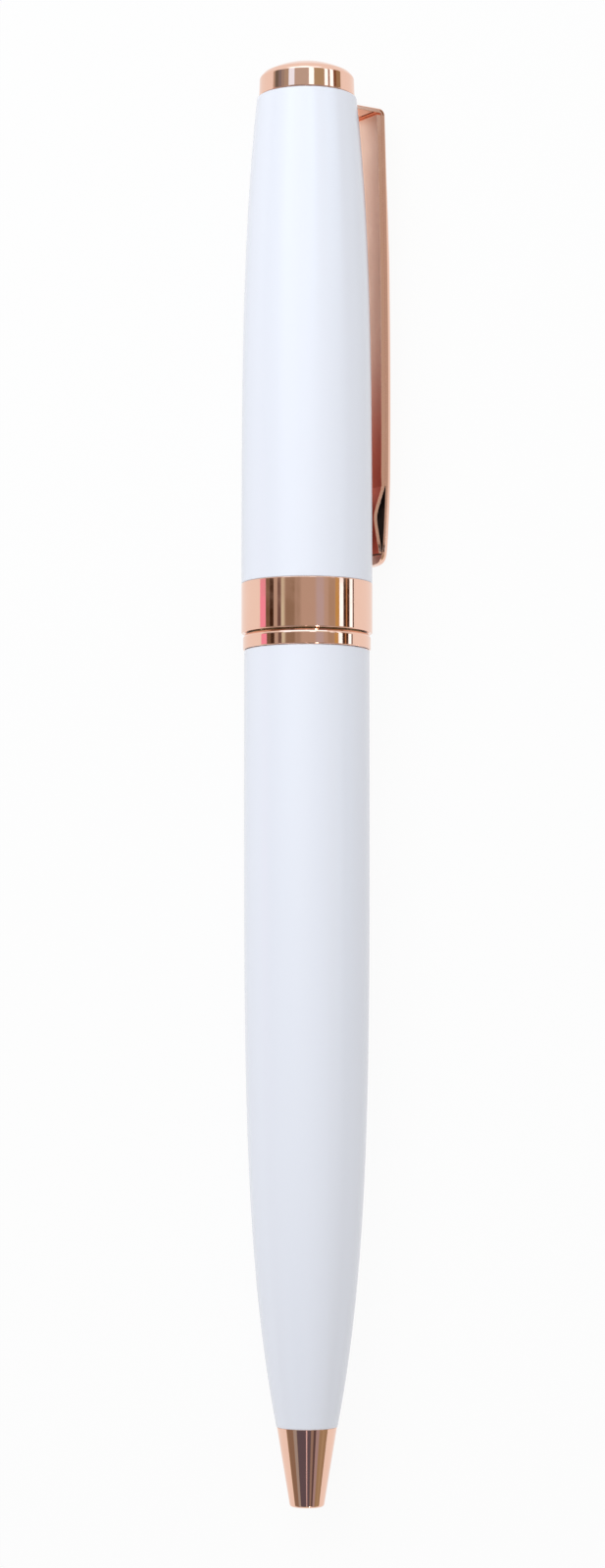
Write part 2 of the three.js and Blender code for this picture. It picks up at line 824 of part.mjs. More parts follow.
// Clip: arm with a flat seat under it for a pocket's hem, bend, bowed leaf with a growing crown
function clip() {
  const rings = [];
  const bendTop = seamRadius(armUnder - clipBend);
  const bendFoot = bendTop - clipBend;
  const along = new THREE.Vector2(1, 0);
  const hemFoot = upperOutline(armUnder - clipHemRoom) + clipHemGap;
  const hemTop = seamRadius(armUnder) - clipInnerLayer - clipHemGap;
  for (const rho of [clipTab, hemFoot, hemTop, bendFoot]) {
    const at = new THREE.Vector2(armUnder, rho);
    rings.push(crownedSection(at, along, clipHalfWidth, clipTopFlat, clipTopCrown));
  }
  for (const degrees of [30, 60]) {
    const a = THREE.MathUtils.degToRad(degrees);
    const normal = new THREE.Vector2(Math.cos(a), Math.sin(a));
    const at = new THREE.Vector2(armUnder - clipBend, bendFoot).addScaledVector(normal, clipBend);
    rings.push(crownedSection(at, normal, clipHalfWidth, clipTopFlat, clipTopCrown));
  }
  const leafTop = armUnder - clipBend;
  const straightEnd = clipEnd + clipHalfWidth;
  const stations = steps(leafTop, leafTop - clipCrownRun, 5);
  stations.push(...steps(leafTop - clipCrownRun, straightEnd, 8).slice(1));
  for (const degrees of steps(0, clipEndSweep, clipEndSteps).slice(1)) {
    stations.push(straightEnd - clipHalfWidth * Math.sin(THREE.MathUtils.degToRad(degrees)));
  }
  for (const u of stations) {
    const t = THREE.MathUtils.smoothstep(leafTop - u, 0, clipCrownRun);
    const half = endHalfWidth(u);
    const taper = THREE.MathUtils.lerp(clipEndThin, 1, half / clipHalfWidth);
    const flat = THREE.MathUtils.lerp(clipTopFlat, clipFlat, t) * taper;
    const rise = THREE.MathUtils.lerp(clipTopCrown, clipCrown, t) * taper;
    rings.push(crownedSection(new THREE.Vector2(u, seamRadius(u)), seamNormal(u), half, flat, rise));
  }
  return loft(rings).add(innerLayer(leafTop));
}

// Inner layer of the strip: flat against the outer one, then bowed towards the barrel as a spring nose
function innerLayer(top) {
  const half = clipHalfWidth - clipInnerInset;
  const leave = clipNoseStation + clipNoseRise;
  const meet = clipNoseStation - clipNoseFall;
  const noseFoot = upperOutline(clipNoseStation) + clipNoseGap;
  const depth = seamRadius(clipNoseStation) - clipNoseLayer - noseFoot;
  const drop = (u) => {
    const side = u > clipNoseStation ? clipNoseRise : clipNoseFall;
    const reach = Math.hypot(side, clipNoseRound) - clipNoseRound;
    const run = Math.hypot(u - clipNoseStation, clipNoseRound) - clipNoseRound;
    return Math.max(0, depth * (1 - run / reach));
  };
  const stations = [...steps(top, leave, 8), ...steps(leave, meet, 16).slice(1)];
  const rings = stations.map((u) => {
    const t = THREE.MathUtils.smoothstep(leave + clipNoseBlend / 2 - u, 0, clipNoseBlend);
    const thickness = THREE.MathUtils.lerp(clipInnerLayer, clipNoseLayer, t);
    const width = Math.min(half, endHalfWidth(u) - clipInnerInset);
    return flatSection(u, seamRadius(u) - drop(u), width, -thickness, clipSeamSink);
  });
  return loft(rings);
}

// Assembly. The clip hangs at local -Z; the whole pen is then rolled until the clip's edge meets the table
const pieces = [
  ['tip_cone', tipCone(), roseGold],
  ['lower_barrel', lowerBarrel(), lacquer],
  ['trim_ring', trimRing(), roseGold],
  ['barrel_bush', barrelBush(), brass],
  ['mechanism_nose', nose(), brass],
  ['friction_seal', seal(), rubber],
  ['guide_tube', guideTube(), steel],
  ['plunger', plunger(), nylon],
  ['follower_pin', followerPin(), steel],
  ['cartridge_adapter', adapter(), darkPlastic],
  ['cartridge_tube', cartridgeTube(), cartridgeMetal],
  ['point_holder', pointPiece(), steel],
  ['writing_ball', writingBall(), steel],
  ['cam_sleeve', camSleeve(), nylon],
  ['mechanism_casing', casing(), brass],
  ['casing_plug', casingPlug(), brass],
  ['drive_bush', driveBush(), brass],
  ['centre_band', centreBand(), roseGold],
  ['upper_barrel', upperBarrel(), lacquer],
  ['top_insert', topInsert(), brass],
  ['lock_washer', washer(), steel],
  ['stud_nut', nut(), steel],
  ['crown_stud', stud(), steel],
  ['crown', crown(), roseGold],
  ['pocket_clip', clip(), roseGold],
];

const roller = new THREE.Group();
const meshes = {};
for (const [name, solid, material] of pieces) {
  const mesh = new THREE.Mesh(surface(solid), material);
  mesh.name = name;
  meshes[name] = mesh;
  roller.add(mesh);
}

// Lowest point of a piece when the pen is rolled by an angle about its axis
function lowest(mesh, angle) {
  const position = mesh.geometry.attributes.position;
  let low = Infinity;
  for (let i = 0; i < position.count; i += 1) {
    low = Math.min(low, position.getY(i) * Math.sin(angle) + position.getZ(i) * Math.cos(angle));
  }
  return low;
}

// Halve the range of the roll until the clip's edge is level with the underside of the centre band
const rollHalvings = 40;
let far = -Math.PI / 2;
let near = -Math.PI / 5;
for (let i = 0; i < rollHalvings; i += 1) {
  const middle = (far + near) / 2;
  if (lowest(meshes.pocket_clip, middle) < lowest(meshes.centre_band, middle)) near = middle;
  else far = middle;
}
const roll = (far + near) / 2;
roller.rotation.x = roll;

// The origin lies on the table, under the middle of the pen's outline
const pen = new THREE.Group();
pen.name = 'twist_pen';
pen.add(roller);
pen.updateMatrixWorld(true);
const outline = new THREE.Box3().setFromObject(pen, true);
const middle = outline.getCenter(new THREE.Vector3());
roller.position.set(-middle.x, -middle.y, -outline.min.z);
pen.updateMatrixWorld(true);

export default pen;
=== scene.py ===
"""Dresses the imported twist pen: finer pieces, their finishes, the table, the light and the camera."""
import json
from math import asin, atan2, cos, degrees, hypot, pi, radians, sin

import bmesh
import bpy
from mathutils import Matrix, Vector

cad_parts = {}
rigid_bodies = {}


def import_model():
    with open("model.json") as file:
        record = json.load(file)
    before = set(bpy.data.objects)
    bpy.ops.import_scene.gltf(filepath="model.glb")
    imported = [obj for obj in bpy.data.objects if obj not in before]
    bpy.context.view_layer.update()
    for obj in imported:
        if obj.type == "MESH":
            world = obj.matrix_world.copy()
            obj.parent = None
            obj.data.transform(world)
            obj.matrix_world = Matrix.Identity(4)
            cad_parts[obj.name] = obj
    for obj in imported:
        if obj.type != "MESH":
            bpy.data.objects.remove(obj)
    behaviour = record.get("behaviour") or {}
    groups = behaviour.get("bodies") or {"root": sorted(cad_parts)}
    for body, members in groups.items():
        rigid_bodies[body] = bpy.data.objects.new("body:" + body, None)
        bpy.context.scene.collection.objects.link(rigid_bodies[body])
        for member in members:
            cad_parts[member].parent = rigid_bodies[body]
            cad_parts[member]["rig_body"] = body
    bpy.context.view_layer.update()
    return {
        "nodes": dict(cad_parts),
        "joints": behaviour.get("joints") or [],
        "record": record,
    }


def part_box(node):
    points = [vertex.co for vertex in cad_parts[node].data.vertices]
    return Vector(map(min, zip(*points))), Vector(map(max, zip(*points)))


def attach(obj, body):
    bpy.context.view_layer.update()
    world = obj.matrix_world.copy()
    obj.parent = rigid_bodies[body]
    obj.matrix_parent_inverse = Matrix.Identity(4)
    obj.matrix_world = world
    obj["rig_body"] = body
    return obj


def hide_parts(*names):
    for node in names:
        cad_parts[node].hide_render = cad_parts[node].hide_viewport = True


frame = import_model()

# Lengths below are millimetres along the pen's axis from the front of the tip, and radii from that axis
MM = 0.001
TIP_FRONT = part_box("tip_cone")[0].x
BAND_MIDDLE = sum(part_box("centre_band"), Vector()) / 2
CLIP_AXIS = Vector(next(j for j in frame["joints"] if j["name"] == "clip_flex")["axis"])
ROLL = atan2(-CLIP_AXIS.z, -CLIP_AXIS.y)
PEN_AXIS = Vector((TIP_FRONT, BAND_MIDDLE.y, BAND_MIDDLE.z))
PLACE = Matrix.Translation(PEN_AXIS) @ Matrix.Rotation(ROLL, 4, "X") @ Matrix.Scale(MM, 4)
OUTER_STEPS = 176
INNER_STEPS = 96
THREAD_STEPS = 48
HELIX_STEPS = 48

# Tip cone
TIP_LENGTH = 7.4
TIP_FRONT_RADIUS = 1.6
TIP_REAR_RADIUS = 2.84
TIP_BORE = 1.27
TIP_SPIGOT_RADIUS = 2.1
TIP_SPIGOT_LENGTH = 4.2
TIP_CHAMBER_BORE = 1.7
TIP_CHAMBER_DEPTH = 3.4

# Lower barrel
LOWER_LENGTH = 73.38
LOWER_FRONT_RADIUS = 2.88
LOWER_REAR_RADIUS = 5.975
LOWER_SWELL = 4.63
LOWER_WALL = 0.6
LOWER_NECK = LOWER_REAR_RADIUS - 0.27

# Trim ring and centre band
TRIM_LENGTH = 1.44
TRIM_RADIUS = LOWER_REAR_RADIUS + 0.135
PARTING_GAP = 0.12
TRIM_CHAMFER = 0.16
TRIM_CHAMFER_RUN = 0.32
BAND_LENGTH = 4.79
BAND_LIP = 0.3

# Upper barrel
UPPER_LENGTH = 47.17
UPPER_FRONT_RADIUS = 6.25
UPPER_TOP_RADIUS = 4.8
UPPER_SWELL = 3.4
UPPER_WALL = 0.65
UPPER_NECK = UPPER_FRONT_RADIUS - 0.3
BAND_RADIUS = UPPER_FRONT_RADIUS + 0.02

# Crown
CROWN_GAP = 0.06
CROWN_SIDE = 1.85
CROWN_FOOT_RADIUS = 4.62
CROWN_SIDE_RADIUS = 4.56
CROWN_SHOULDER = 0.4
CROWN_SHOULDER_SLANT = 0.85
CROWN_RISE = 1.16
CROWN_SPIGOT_LENGTH = 0.25
CROWN_SPIGOT_FIT = 0.12
STUD_RADIUS = 1.6
STUD_LENGTH = 10.6
STUD_SEAT = 1.5

# Fits
PRESS = 0.05
RUNNING = 0.1
SLIDE = 0.15

# Reaches that set where the inner pieces stand
PIN_REACH = 17.78
COLLAR_LENGTH = 2.7
POINT_TUBE_SETBACK = 5.3
CARTRIDGE_SETBACK = 9.1

# Stations along the pen
U_LOWER_REAR = TIP_LENGTH + LOWER_LENGTH
U_PARTING = U_LOWER_REAR + TRIM_LENGTH
U_BAND = U_PARTING + PARTING_GAP
U_UPPER_FRONT = U_BAND + BAND_LENGTH
U_UPPER_TOP = U_UPPER_FRONT + UPPER_LENGTH
U_CROWN = U_UPPER_TOP + CROWN_GAP
U_APEX = U_CROWN + CROWN_SIDE + CROWN_SHOULDER + CROWN_RISE
U_PIN = U_PARTING + PIN_REACH
U_COLLAR = U_BAND + COLLAR_LENGTH
U_POINT_TUBE = TIP_LENGTH + TIP_SPIGOT_LENGTH + POINT_TUBE_SETBACK
U_CARTRIDGE_END = U_PIN - CARTRIDGE_SETBACK

# Nested radii, built outwards from the cartridge
CARTRIDGE_RADIUS = 2.85
GUIDE_BORE = CARTRIDGE_RADIUS + SLIDE
GUIDE_RADIUS = GUIDE_BORE + 0.4
SPIGOT_RADIUS = GUIDE_RADIUS + PRESS + 0.5
PLUNGER_RADIUS = GUIDE_BORE - RUNNING
CAM_BORE = GUIDE_RADIUS + RUNNING
CAM_RADIUS = CAM_BORE + 0.5
CASING_BORE = max(CAM_RADIUS + PRESS, SPIGOT_RADIUS + RUNNING)
CASING_RADIUS = CASING_BORE + 0.3
DRIVE_BORE = CASING_RADIUS + PRESS
LOWER_BORE = LOWER_REAR_RADIUS - LOWER_WALL
BUSH_RADIUS = LOWER_BORE - PRESS
BUSH_BORE = BUSH_RADIUS - 0.4
NOSE_RADIUS = BUSH_BORE - RUNNING
UPPER_BORE = UPPER_FRONT_RADIUS - UPPER_WALL
DRIVE_RADIUS = UPPER_BORE - PRESS

# Pieces inside the barrels
BUSH_LENGTH = 13.5
NOSE_DEPTH = 12.0
NOSE_RIBS = 8
NOSE_RIB_LENGTH = 6.0
NOSE_RIB_HEIGHT = 0.05
SPIGOT_LENGTH = 5.6
U_SEAL = U_COLLAR + 0.62 * SPIGOT_LENGTH
GROOVE_WIDTH = 0.8
GROOVE_DEPTH = 0.26
SEAL_RADIUS = 0.14
GUIDE_SEAT_LENGTH = 8.5
GUIDE_TAIL = 7.6
TRAVEL = 4.7
PIN_RADIUS = 0.5
SLOT_HALF = PIN_RADIUS + 0.1
PLUNGER_FRONT = 8.4
PLUNGER_REAR = 3.6
THREAD_RADIUS = 1.9
THREAD_LENGTH = 4.6
CAM_MARGIN = 2.4
CASING_GAP = 0.6
CASING_TAIL = 2.2
U_CASING = U_COLLAR + CASING_GAP
U_CASING_REAR = U_PIN + GUIDE_TAIL + CASING_TAIL
DRIVE_START = 5.2
DRIVE_LENGTH = 12.0
DRIVE_LAND = 1.2
DRIVE_TEETH = 24
DRIVE_TOOTH = 0.18
BALL_STATION = 2.4
BALL_RADIUS = 0.4
POINT_RADIUS = 1.12
POINT_SEAT = 2.0
CARTRIDGE_WALL = 0.35
INSERT_LENGTH = 3.6
WASHER_RADIUS = 3.3
WASHER_BODY_RADIUS = 2.75
WASHER_TEETH = 12
WASHER_THICKNESS = 0.4
NUT_WIDTH = 6.0
NUT_HEIGHT = 1.8

# Clip
CLIP_HALF = 2.15
CLIP_STRIP = 0.47
SLOT_TOP = U_UPPER_TOP - 0.2
SLOT_FIT = 0.12
ARM_TOP = SLOT_TOP - SLOT_FIT
ARM_UNDER = ARM_TOP - CLIP_STRIP
SLOT_FOOT = ARM_UNDER - SLOT_FIT
U_INSERT_TOP = SLOT_FOOT - 0.18
CLIP_TAB = 2.25
CLIP_BEND = 0.22
CLIP_END = ARM_TOP - 44.57
CLIP_BOW_STATION = CLIP_END + 16.6
CLIP_BOW_RADIUS = UPPER_FRONT_RADIUS + 1.49
CLIP_BOW = 0.00062
CLIP_TOP_FLAT = 0.41
CLIP_FLAT = 0.33
CLIP_TOP_CROWN = 0.06
CLIP_CROWN = 0.8
CLIP_CROWN_RUN = 15.0
CLIP_EDGE = 0.06
CLIP_BROW = 0.12
CLIP_SPRING_ANGLE = 0.4
CLIP_END_DIP = 0.35
CLIP_END_RUN = 8.6
CLIP_END_SQUARENESS = 4
CLIP_END_THIN = 0.35
CLIP_INNER = 0.5
CLIP_INNER_EDGE = 0.05
CLIP_INSET = 0.06
SEAM_REACH = 0.03
NOSE_STATION = CLIP_END + 4.5
NOSE_GAP = 0.1
NOSE_LAYER = 0.36
NOSE_RISE = 3.1
NOSE_FALL = 3.5
NOSE_ROUND = 0.6
# Stations of the painted copper-red shade on the clip's face towards the barrel: deepest at the first, gone
# at the second
RED_SHADE_DEEPEST = CLIP_END + 8.0
RED_SHADE_END = CLIP_END + 24.0


# Node trees
def wire(tree, source, target):
    tree.links.new(source, target)


def feed(tree, given, socket):
    """Sets a socket to a number or a colour, or wires another socket to it."""
    if isinstance(given, (int, float)):
        socket.default_value = given
    elif isinstance(given, tuple):
        socket.default_value = (*given, 1.0)
    else:
        wire(tree, given, socket)


def node(tree, kind, **settings):
    made = tree.nodes.new(kind)
    for key, value in settings.items():
        setattr(made, key, value)
    return made


def math_node(tree, operation, first, second=None, third=None):
    made = node(tree, "ShaderNodeMath", operation=operation)
    for socket, given in zip(made.inputs, (first, second, third)):
        if given is not None:
            feed(tree, given, socket)
    return made.outputs[0]


def ramp_between(tree, value, low, high, out_low=0.0, out_high=1.0):
    made = node(tree, "ShaderNodeMapRange", interpolation_type="SMOOTHSTEP")
    labels = ("Value", "From Min", "From Max", "To Min", "To Max")
    for label, given in zip(labels, (value, low, high, out_low, out_high)):
        feed(tree, given, made.inputs[label])
    return made.outputs["Result"]


def mix_colours(tree, factor, first, second):
    made = node(tree, "ShaderNodeMix", data_type="RGBA")
    for index, given in ((0, factor), (6, first), (7, second)):
        feed(tree, given, made.inputs[index])
    return made.outputs[2]


def mix_shaders(tree, factor, first, second):
    made = node(tree, "ShaderNodeMixShader")
    for given, socket in zip((factor, first, second), made.inputs):
        wire(tree, given, socket)
    return made.outputs[0]


def noise(tree, place, scale, detail=2.0):
    """The value of a noise texture at the place."""
    made = node(tree, "ShaderNodeTexNoise")
    made.inputs["Detail"].default_value = detail
    feed(tree, scale, made.inputs["Scale"])
    wire(tree, place, made.inputs["Vector"])
    return made.outputs["Fac"]


def effect(name, inputs, outputs):
    """A group of nodes. Its input Place is a point, and every other socket a number."""
    tree = bpy.data.node_groups.new(name, "ShaderNodeTree")
    for label in inputs:
        kind = "NodeSocketVector" if label == "Place" else "NodeSocketFloat"
        tree.interface.new_socket(label, in_out="INPUT", socket_type=kind)
    for label in outputs:
        tree.interface.new_socket(label, in_out="OUTPUT", socket_type="NodeSocketFloat")
    return tree, node(tree, "NodeGroupInput"), node(tree, "NodeGroupOutput")


def placed(tree, group, **values):
    """An effect put into a tree, with a value or a socket for each of its inputs."""
    made = node(tree, "ShaderNodeGroup", node_tree=group)
    for label, given in values.items():
        feed(tree, given, made.inputs[label])
    return made


# Nearly all of a noise texture lies between these values
NOISE_LOW = 0.3
NOISE_HIGH = 0.7


def polish_haze():
    """Cloudy variation of a polish: a roughness between two values and a very low swell."""
    tree, given, result = effect("polish_haze", ("Place", "Size", "Low", "High"), ("Roughness", "Height"))
    cloud = noise(tree, given.outputs["Place"], given.outputs["Size"], 3.0)
    value = ramp_between(tree, cloud, NOISE_LOW, NOISE_HIGH, given.outputs["Low"], given.outputs["High"])
    wire(tree, value, result.inputs["Roughness"])
    wire(tree, cloud, result.inputs["Height"])
    return tree


def turning_marks():
    """Fine rings left by a lathe tool, uneven along the piece."""
    tree, given, result = effect("turning_marks", ("Place", "Pitch", "Unevenness"), ("Height", "Mask"))
    parts = node(tree, "ShaderNodeSeparateXYZ")
    wire(tree, given.outputs["Place"], parts.inputs[0])
    marks = node(tree, "ShaderNodeTexNoise", noise_dimensions="1D")
    wire(tree, parts.outputs["X"], marks.inputs["W"])
    wire(tree, given.outputs["Pitch"], marks.inputs["Scale"])
    patch = noise(tree, given.outputs["Place"], 260.0)
    uneven = math_node(tree, "MULTIPLY", patch, given.outputs["Unevenness"])
    mask = math_node(tree, "SUBTRACT", marks.outputs["Fac"], uneven)
    wire(tree, marks.outputs["Fac"], result.inputs["Height"])
    wire(tree, mask, result.inputs["Mask"])
    return tree


def dust_specks():
    """Scattered tiny specks: a mask that is 1 on a speck."""
    tree, given, result = effect("dust_specks", ("Place", "Spacing", "Speck", "Share"), ("Mask",))
    cells = node(tree, "ShaderNodeTexVoronoi")
    wire(tree, given.outputs["Place"], cells.inputs["Vector"])
    wire(tree, given.outputs["Spacing"], cells.inputs["Scale"])
    near = math_node(tree, "LESS_THAN", cells.outputs["Distance"], given.outputs["Speck"])
    parts = node(tree, "ShaderNodeSeparateColor")
    wire(tree, cells.outputs["Color"], parts.inputs[0])
    chosen = math_node(tree, "LESS_THAN", parts.outputs[0], given.outputs["Share"])
    wire(tree, math_node(tree, "MULTIPLY", near, chosen), result.inputs["Mask"])
    return tree


POLISH_HAZE = polish_haze()
TURNING_MARKS = turning_marks()
DUST_SPECKS = dust_specks()


def emptied(owner):
    """The node tree of a material or of the world, without its first nodes."""
    owner.use_nodes = True
    owner.node_tree.nodes.clear()
    return owner.node_tree


def new_finish(name, metallic):
    made = bpy.data.materials.new(name)
    tree = emptied(made)
    shader = node(tree, "ShaderNodeBsdfPrincipled")
    shader.inputs["Metallic"].default_value = metallic
    output = node(tree, "ShaderNodeOutputMaterial")
    wire(tree, shader.outputs[0], output.inputs["Surface"])
    place = node(tree, "ShaderNodeTexCoord").outputs["Object"]
    return made, tree, shader, place


def finished(tree, shader, colour, roughness, height, depth):
    """Gives a finish its colour, its roughness and a relief of the given depth in metres."""
    wire(tree, colour, shader.inputs["Base Color"])
    wire(tree, roughness, shader.inputs["Roughness"])
    relief = node(tree, "ShaderNodeBump")
    relief.inputs["Distance"].default_value = depth
    wire(tree, height, relief.inputs["Height"])
    wire(tree, relief.outputs[0], shader.inputs["Normal"])


def white_lacquer():
    made, tree, shader, place = new_finish("white_lacquer", 0.0)
    shader.inputs["IOR"].default_value = 1.5
    haze = placed(tree, POLISH_HAZE, Place=place, Size=90.0, Low=0.235, High=0.265)
    paint = mix_colours(tree, noise(tree, place, 45.0), (0.806, 0.832, 0.915), (0.812, 0.836, 0.915))
    specks = placed(tree, DUST_SPECKS, Place=place, Spacing=95.0, Speck=0.013, Share=0.12)
    colour = mix_colours(tree, specks.outputs["Mask"], paint, (0.36, 0.36, 0.42))
    peel = noise(tree, place, 900.0, 1.0)
    finished(tree, shader, colour, haze.outputs["Roughness"], peel, 1.2e-6)
    return made


def rose_gold():
    made, tree, shader, place = new_finish("rose_gold", 1.0)
    haze = placed(tree, POLISH_HAZE, Place=place, Size=700.0, Low=0.035, High=0.085)
    plate = mix_colours(tree, noise(tree, place, 240.0), (0.865, 0.565, 0.44), (0.845, 0.53, 0.415))
    specks = placed(tree, DUST_SPECKS, Place=place, Spacing=700.0, Speck=0.05, Share=0.1)
    roughness = math_node(tree, "MULTIPLY_ADD", specks.outputs["Mask"], 0.4, haze.outputs["Roughness"])
    finished(tree, shader, plate, roughness, haze.outputs["Height"], 0.8e-6)
    return made


def fold_shade_plate():
    """The unpolished plate inside the clip's fold, painted near black as the shade in the cavity between the
    two layers.
    """
    made, tree, shader, place = new_finish("fold_shade_plate", 1.0)
    fold_mottle = noise(tree, place, 900.0, 4.0)
    # painted shade: near-black colours stand for the dark cavity inside the fold, mottled by noise
    colour = mix_colours(tree, fold_mottle, (0.10, 0.062, 0.045), (0.25, 0.15, 0.11))
    roughness = ramp_between(tree, fold_mottle, NOISE_LOW, NOISE_HIGH, 0.42, 0.6)
    finished(tree, shader, colour, roughness, fold_mottle, 4.0e-6)
    return made


def satin_painted_shade_plate():
    """The less polished plate on the clip's face towards the barrel, lighter than the rose gold as painted
    light, and copper red towards the nose as painted shade.
    """
    made, tree, shader, place = new_finish("satin_painted_shade_plate", 1.0)
    haze = placed(tree, POLISH_HAZE, Place=place, Size=300.0, Low=0.36, High=0.42)
    # painted light: a plate colour lighter than the rose gold's brightens the face towards the barrel
    plate = mix_colours(tree, haze.outputs["Height"], (0.98, 0.67, 0.53), (0.955, 0.64, 0.505))
    parts = node(tree, "ShaderNodeSeparateXYZ")
    wire(tree, place, parts.inputs[0])
    # painted shade: copper red, deepest near the nose and fading out along the clip
    deepest_red, full = ((PLACE @ Vector((u, 0.0, 0.0))).x for u in (RED_SHADE_DEEPEST, RED_SHADE_END))
    painted_red_shade = ramp_between(tree, parts.outputs["X"], deepest_red, full, 1.0, 0.0)
    colour = mix_colours(tree, painted_red_shade, plate, (0.72, 0.175, 0.105))
    finished(tree, shader, colour, haze.outputs["Roughness"], haze.outputs["Height"], 0.8e-6)
    return made


def turned_metal(name, light, dark, low, high, pitch, depth):
    made, tree, shader, place = new_finish(name, 1.0)
    marks = placed(tree, TURNING_MARKS, Place=place, Pitch=pitch, Unevenness=0.5)
    haze = placed(tree, POLISH_HAZE, Place=place, Size=500.0, Low=low, High=high)
    colour = mix_colours(tree, marks.outputs["Mask"], dark, light)
    finished(tree, shader, colour, haze.outputs["Roughness"], marks.outputs["Height"], depth)
    return made


def moulded(name, light, dark, low, high, grain, depth):
    made, tree, shader, place = new_finish(name, 0.0)
    colour = mix_colours(tree, noise(tree, place, 120.0), dark, light)
    specks = placed(tree, DUST_SPECKS, Place=place, Spacing=500.0, Speck=0.04, Share=0.15)
    dusty = mix_colours(tree, specks.outputs["Mask"], colour, (0.45, 0.44, 0.42))
    haze = placed(tree, POLISH_HAZE, Place=place, Size=300.0, Low=low, High=high)
    finished(tree, shader, dusty, haze.outputs["Roughness"], noise(tree, place, grain), depth)
    return made


FINISHES = {
    "lacquer": white_lacquer(),
    "rose_gold": rose_gold(),
    "brass": turned_metal(
        "turned_brass", (0.80, 0.62, 0.32), (0.62, 0.45, 0.20), 0.18, 0.265, 5200.0, 4.0e-6),
    "steel": turned_metal(
        "turned_steel", (0.66, 0.67, 0.69), (0.46, 0.47, 0.49), 0.16, 0.265, 6500.0, 3.0e-6),
    "cartridge_metal": turned_metal(
        "nickel_plate", (0.76, 0.77, 0.79), (0.66, 0.67, 0.68), 0.21, 0.265, 2600.0, 1.0e-6),
    "nylon": moulded(
        "white_acetal", (0.82, 0.80, 0.73), (0.76, 0.73, 0.65), 0.38, 0.52, 2200.0, 4.0e-6),
    "dark_plastic": moulded(
        "black_plastic", (0.035, 0.037, 0.042), (0.02, 0.021, 0.024), 0.32, 0.46, 1800.0, 4.0e-6),
    "rubber": moulded(
        "black_rubber", (0.03, 0.03, 0.033), (0.018, 0.018, 0.02), 0.62, 0.78, 2600.0, 8.0e-6),
}
ENDINGS = {
    "lacquer": "lacquered", "rose_gold": "plated", "brass": "turned", "steel": "machined",
    "cartridge_metal": "drawn", "nylon": "moulded", "dark_plastic": "moulded", "rubber": "moulded",
}
# The clip has two more finishes after its plating: the near-black plate of painted shade in the fold's
# cavity, and the satin plate, lightened as painted light and reddened towards the nose as painted shade
CLIP_FINISHES = (fold_shade_plate(), satin_painted_shade_plate())
FOLD_SHADE = 1
SATIN_PAINTED_SHADE = 2
SLOTS = {part["node"]: part["material_slot"] for part in frame["record"]["subparts"]}


def linked(name, data):
    """A new object of the scene."""
    made = bpy.data.objects.new(name, data)
    bpy.context.scene.collection.objects.link(made)
    return made


def mesh_from(name, bm):
    """A new mesh, which uses the bmesh up."""
    mesh = bpy.data.meshes.new(name)
    bm.to_mesh(mesh)
    bm.free()
    return mesh


def applied(piece):
    """The piece's mesh with its modifiers made permanent."""
    graph = bpy.context.evaluated_depsgraph_get()
    mesh = bpy.data.meshes.new_from_object(piece.evaluated_get(graph))
    bpy.data.objects.remove(piece)
    return mesh


def show(name, bm, sharp=28.0, others=()):
    """Puts a finished bmesh in place of its CAD node, on that node's body and in its finish.

    Flats keep even shading beside their roundings. It is worked out in millimetres, before the placing.
    """
    bmesh.ops.recalc_face_normals(bm, faces=bm.faces)
    slot = SLOTS[name]
    blank = mesh_from(f"{name}_blank", bm)
    for material in (FINISHES[slot], *others):
        blank.materials.append(material)
    blank.shade_smooth()
    blank.set_sharp_from_angle(angle=radians(sharp))
    shaded = linked(blank.name, blank)
    even = shaded.modifiers.new("even_shading", "WEIGHTED_NORMAL")
    even.keep_sharp = True
    even.weight = 100
    even.thresh = 0.02
    mesh = applied(shaded)
    bpy.data.meshes.remove(blank)
    mesh.transform(PLACE)
    mesh.name = f"{name}_{ENDINGS[slot]}"
    piece = linked(mesh.name, mesh)
    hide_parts(name)
    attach(piece, frame["nodes"][name]["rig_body"])


# Shaping
def spread(low, high, count, power=1.0):
    return [low + (high - low) * (i / count) ** power for i in range(count + 1)]


def outlined(bm, points, closed=True):
    """New verts at the points, with edges from each to the next."""
    verts = [bm.verts.new(point) for point in points]
    following = verts[1:] + verts[:1] if closed else verts[1:]
    for side in zip(verts, following):
        bm.edges.new(side)
    return verts


def rounded(bm, geom, radius, segments, affect="EDGES"):
    """Rounds edges, or the corners of a flat outline."""
    bmesh.ops.bevel(bm, geom=geom, offset=radius, offset_type="OFFSET", segments=segments, profile=0.5,
                    affect=affect, material=-1)


def turned_about(bm, angle, steps, **settings):
    """Spins the whole bmesh about the pen's axis."""
    bmesh.ops.spin(bm, geom=bm.verts[:] + bm.edges[:] + bm.faces[:], cent=(0, 0, 0), axis=(1, 0, 0),
                   angle=angle, steps=steps, **settings)


def spun(profile, steps, closed=True):
    """A full turn about the pen's axis of points of (station, radius), some with a rounding of the corner."""
    bm = bmesh.new()
    verts = outlined(bm, [(point[0], 0.0, point[1]) for point in profile], closed)
    for vert, point in zip(verts, profile):
        if len(point) > 2:
            rounded(bm, [vert], point[2], 5, "VERTICES")
    turned_about(bm, 2 * pi, steps, use_merge=True)
    bmesh.ops.remove_doubles(bm, verts=bm.verts, dist=1e-5)
    bmesh.ops.recalc_face_normals(bm, faces=bm.faces)
    return bm


def joined(bm, other):
    """Adds another bmesh to the first as a shell of its own."""
    mesh = mesh_from("shell_blank", other)
    bm.from_mesh(mesh)
    bpy.data.meshes.remove(mesh)


def grooved(stations, radius, width, depth):
    """Profile points of ring grooves in a turned surface, in the order of their stations."""
    half = width / 2 if stations[0] < stations[-1] else -width / 2
    floor = radius - depth
    points = []
    for u in stations:
        points += [(u - half, radius), (u - 0.5 * half, floor), (u + 0.5 * half, floor), (u + half, radius)]
    return points


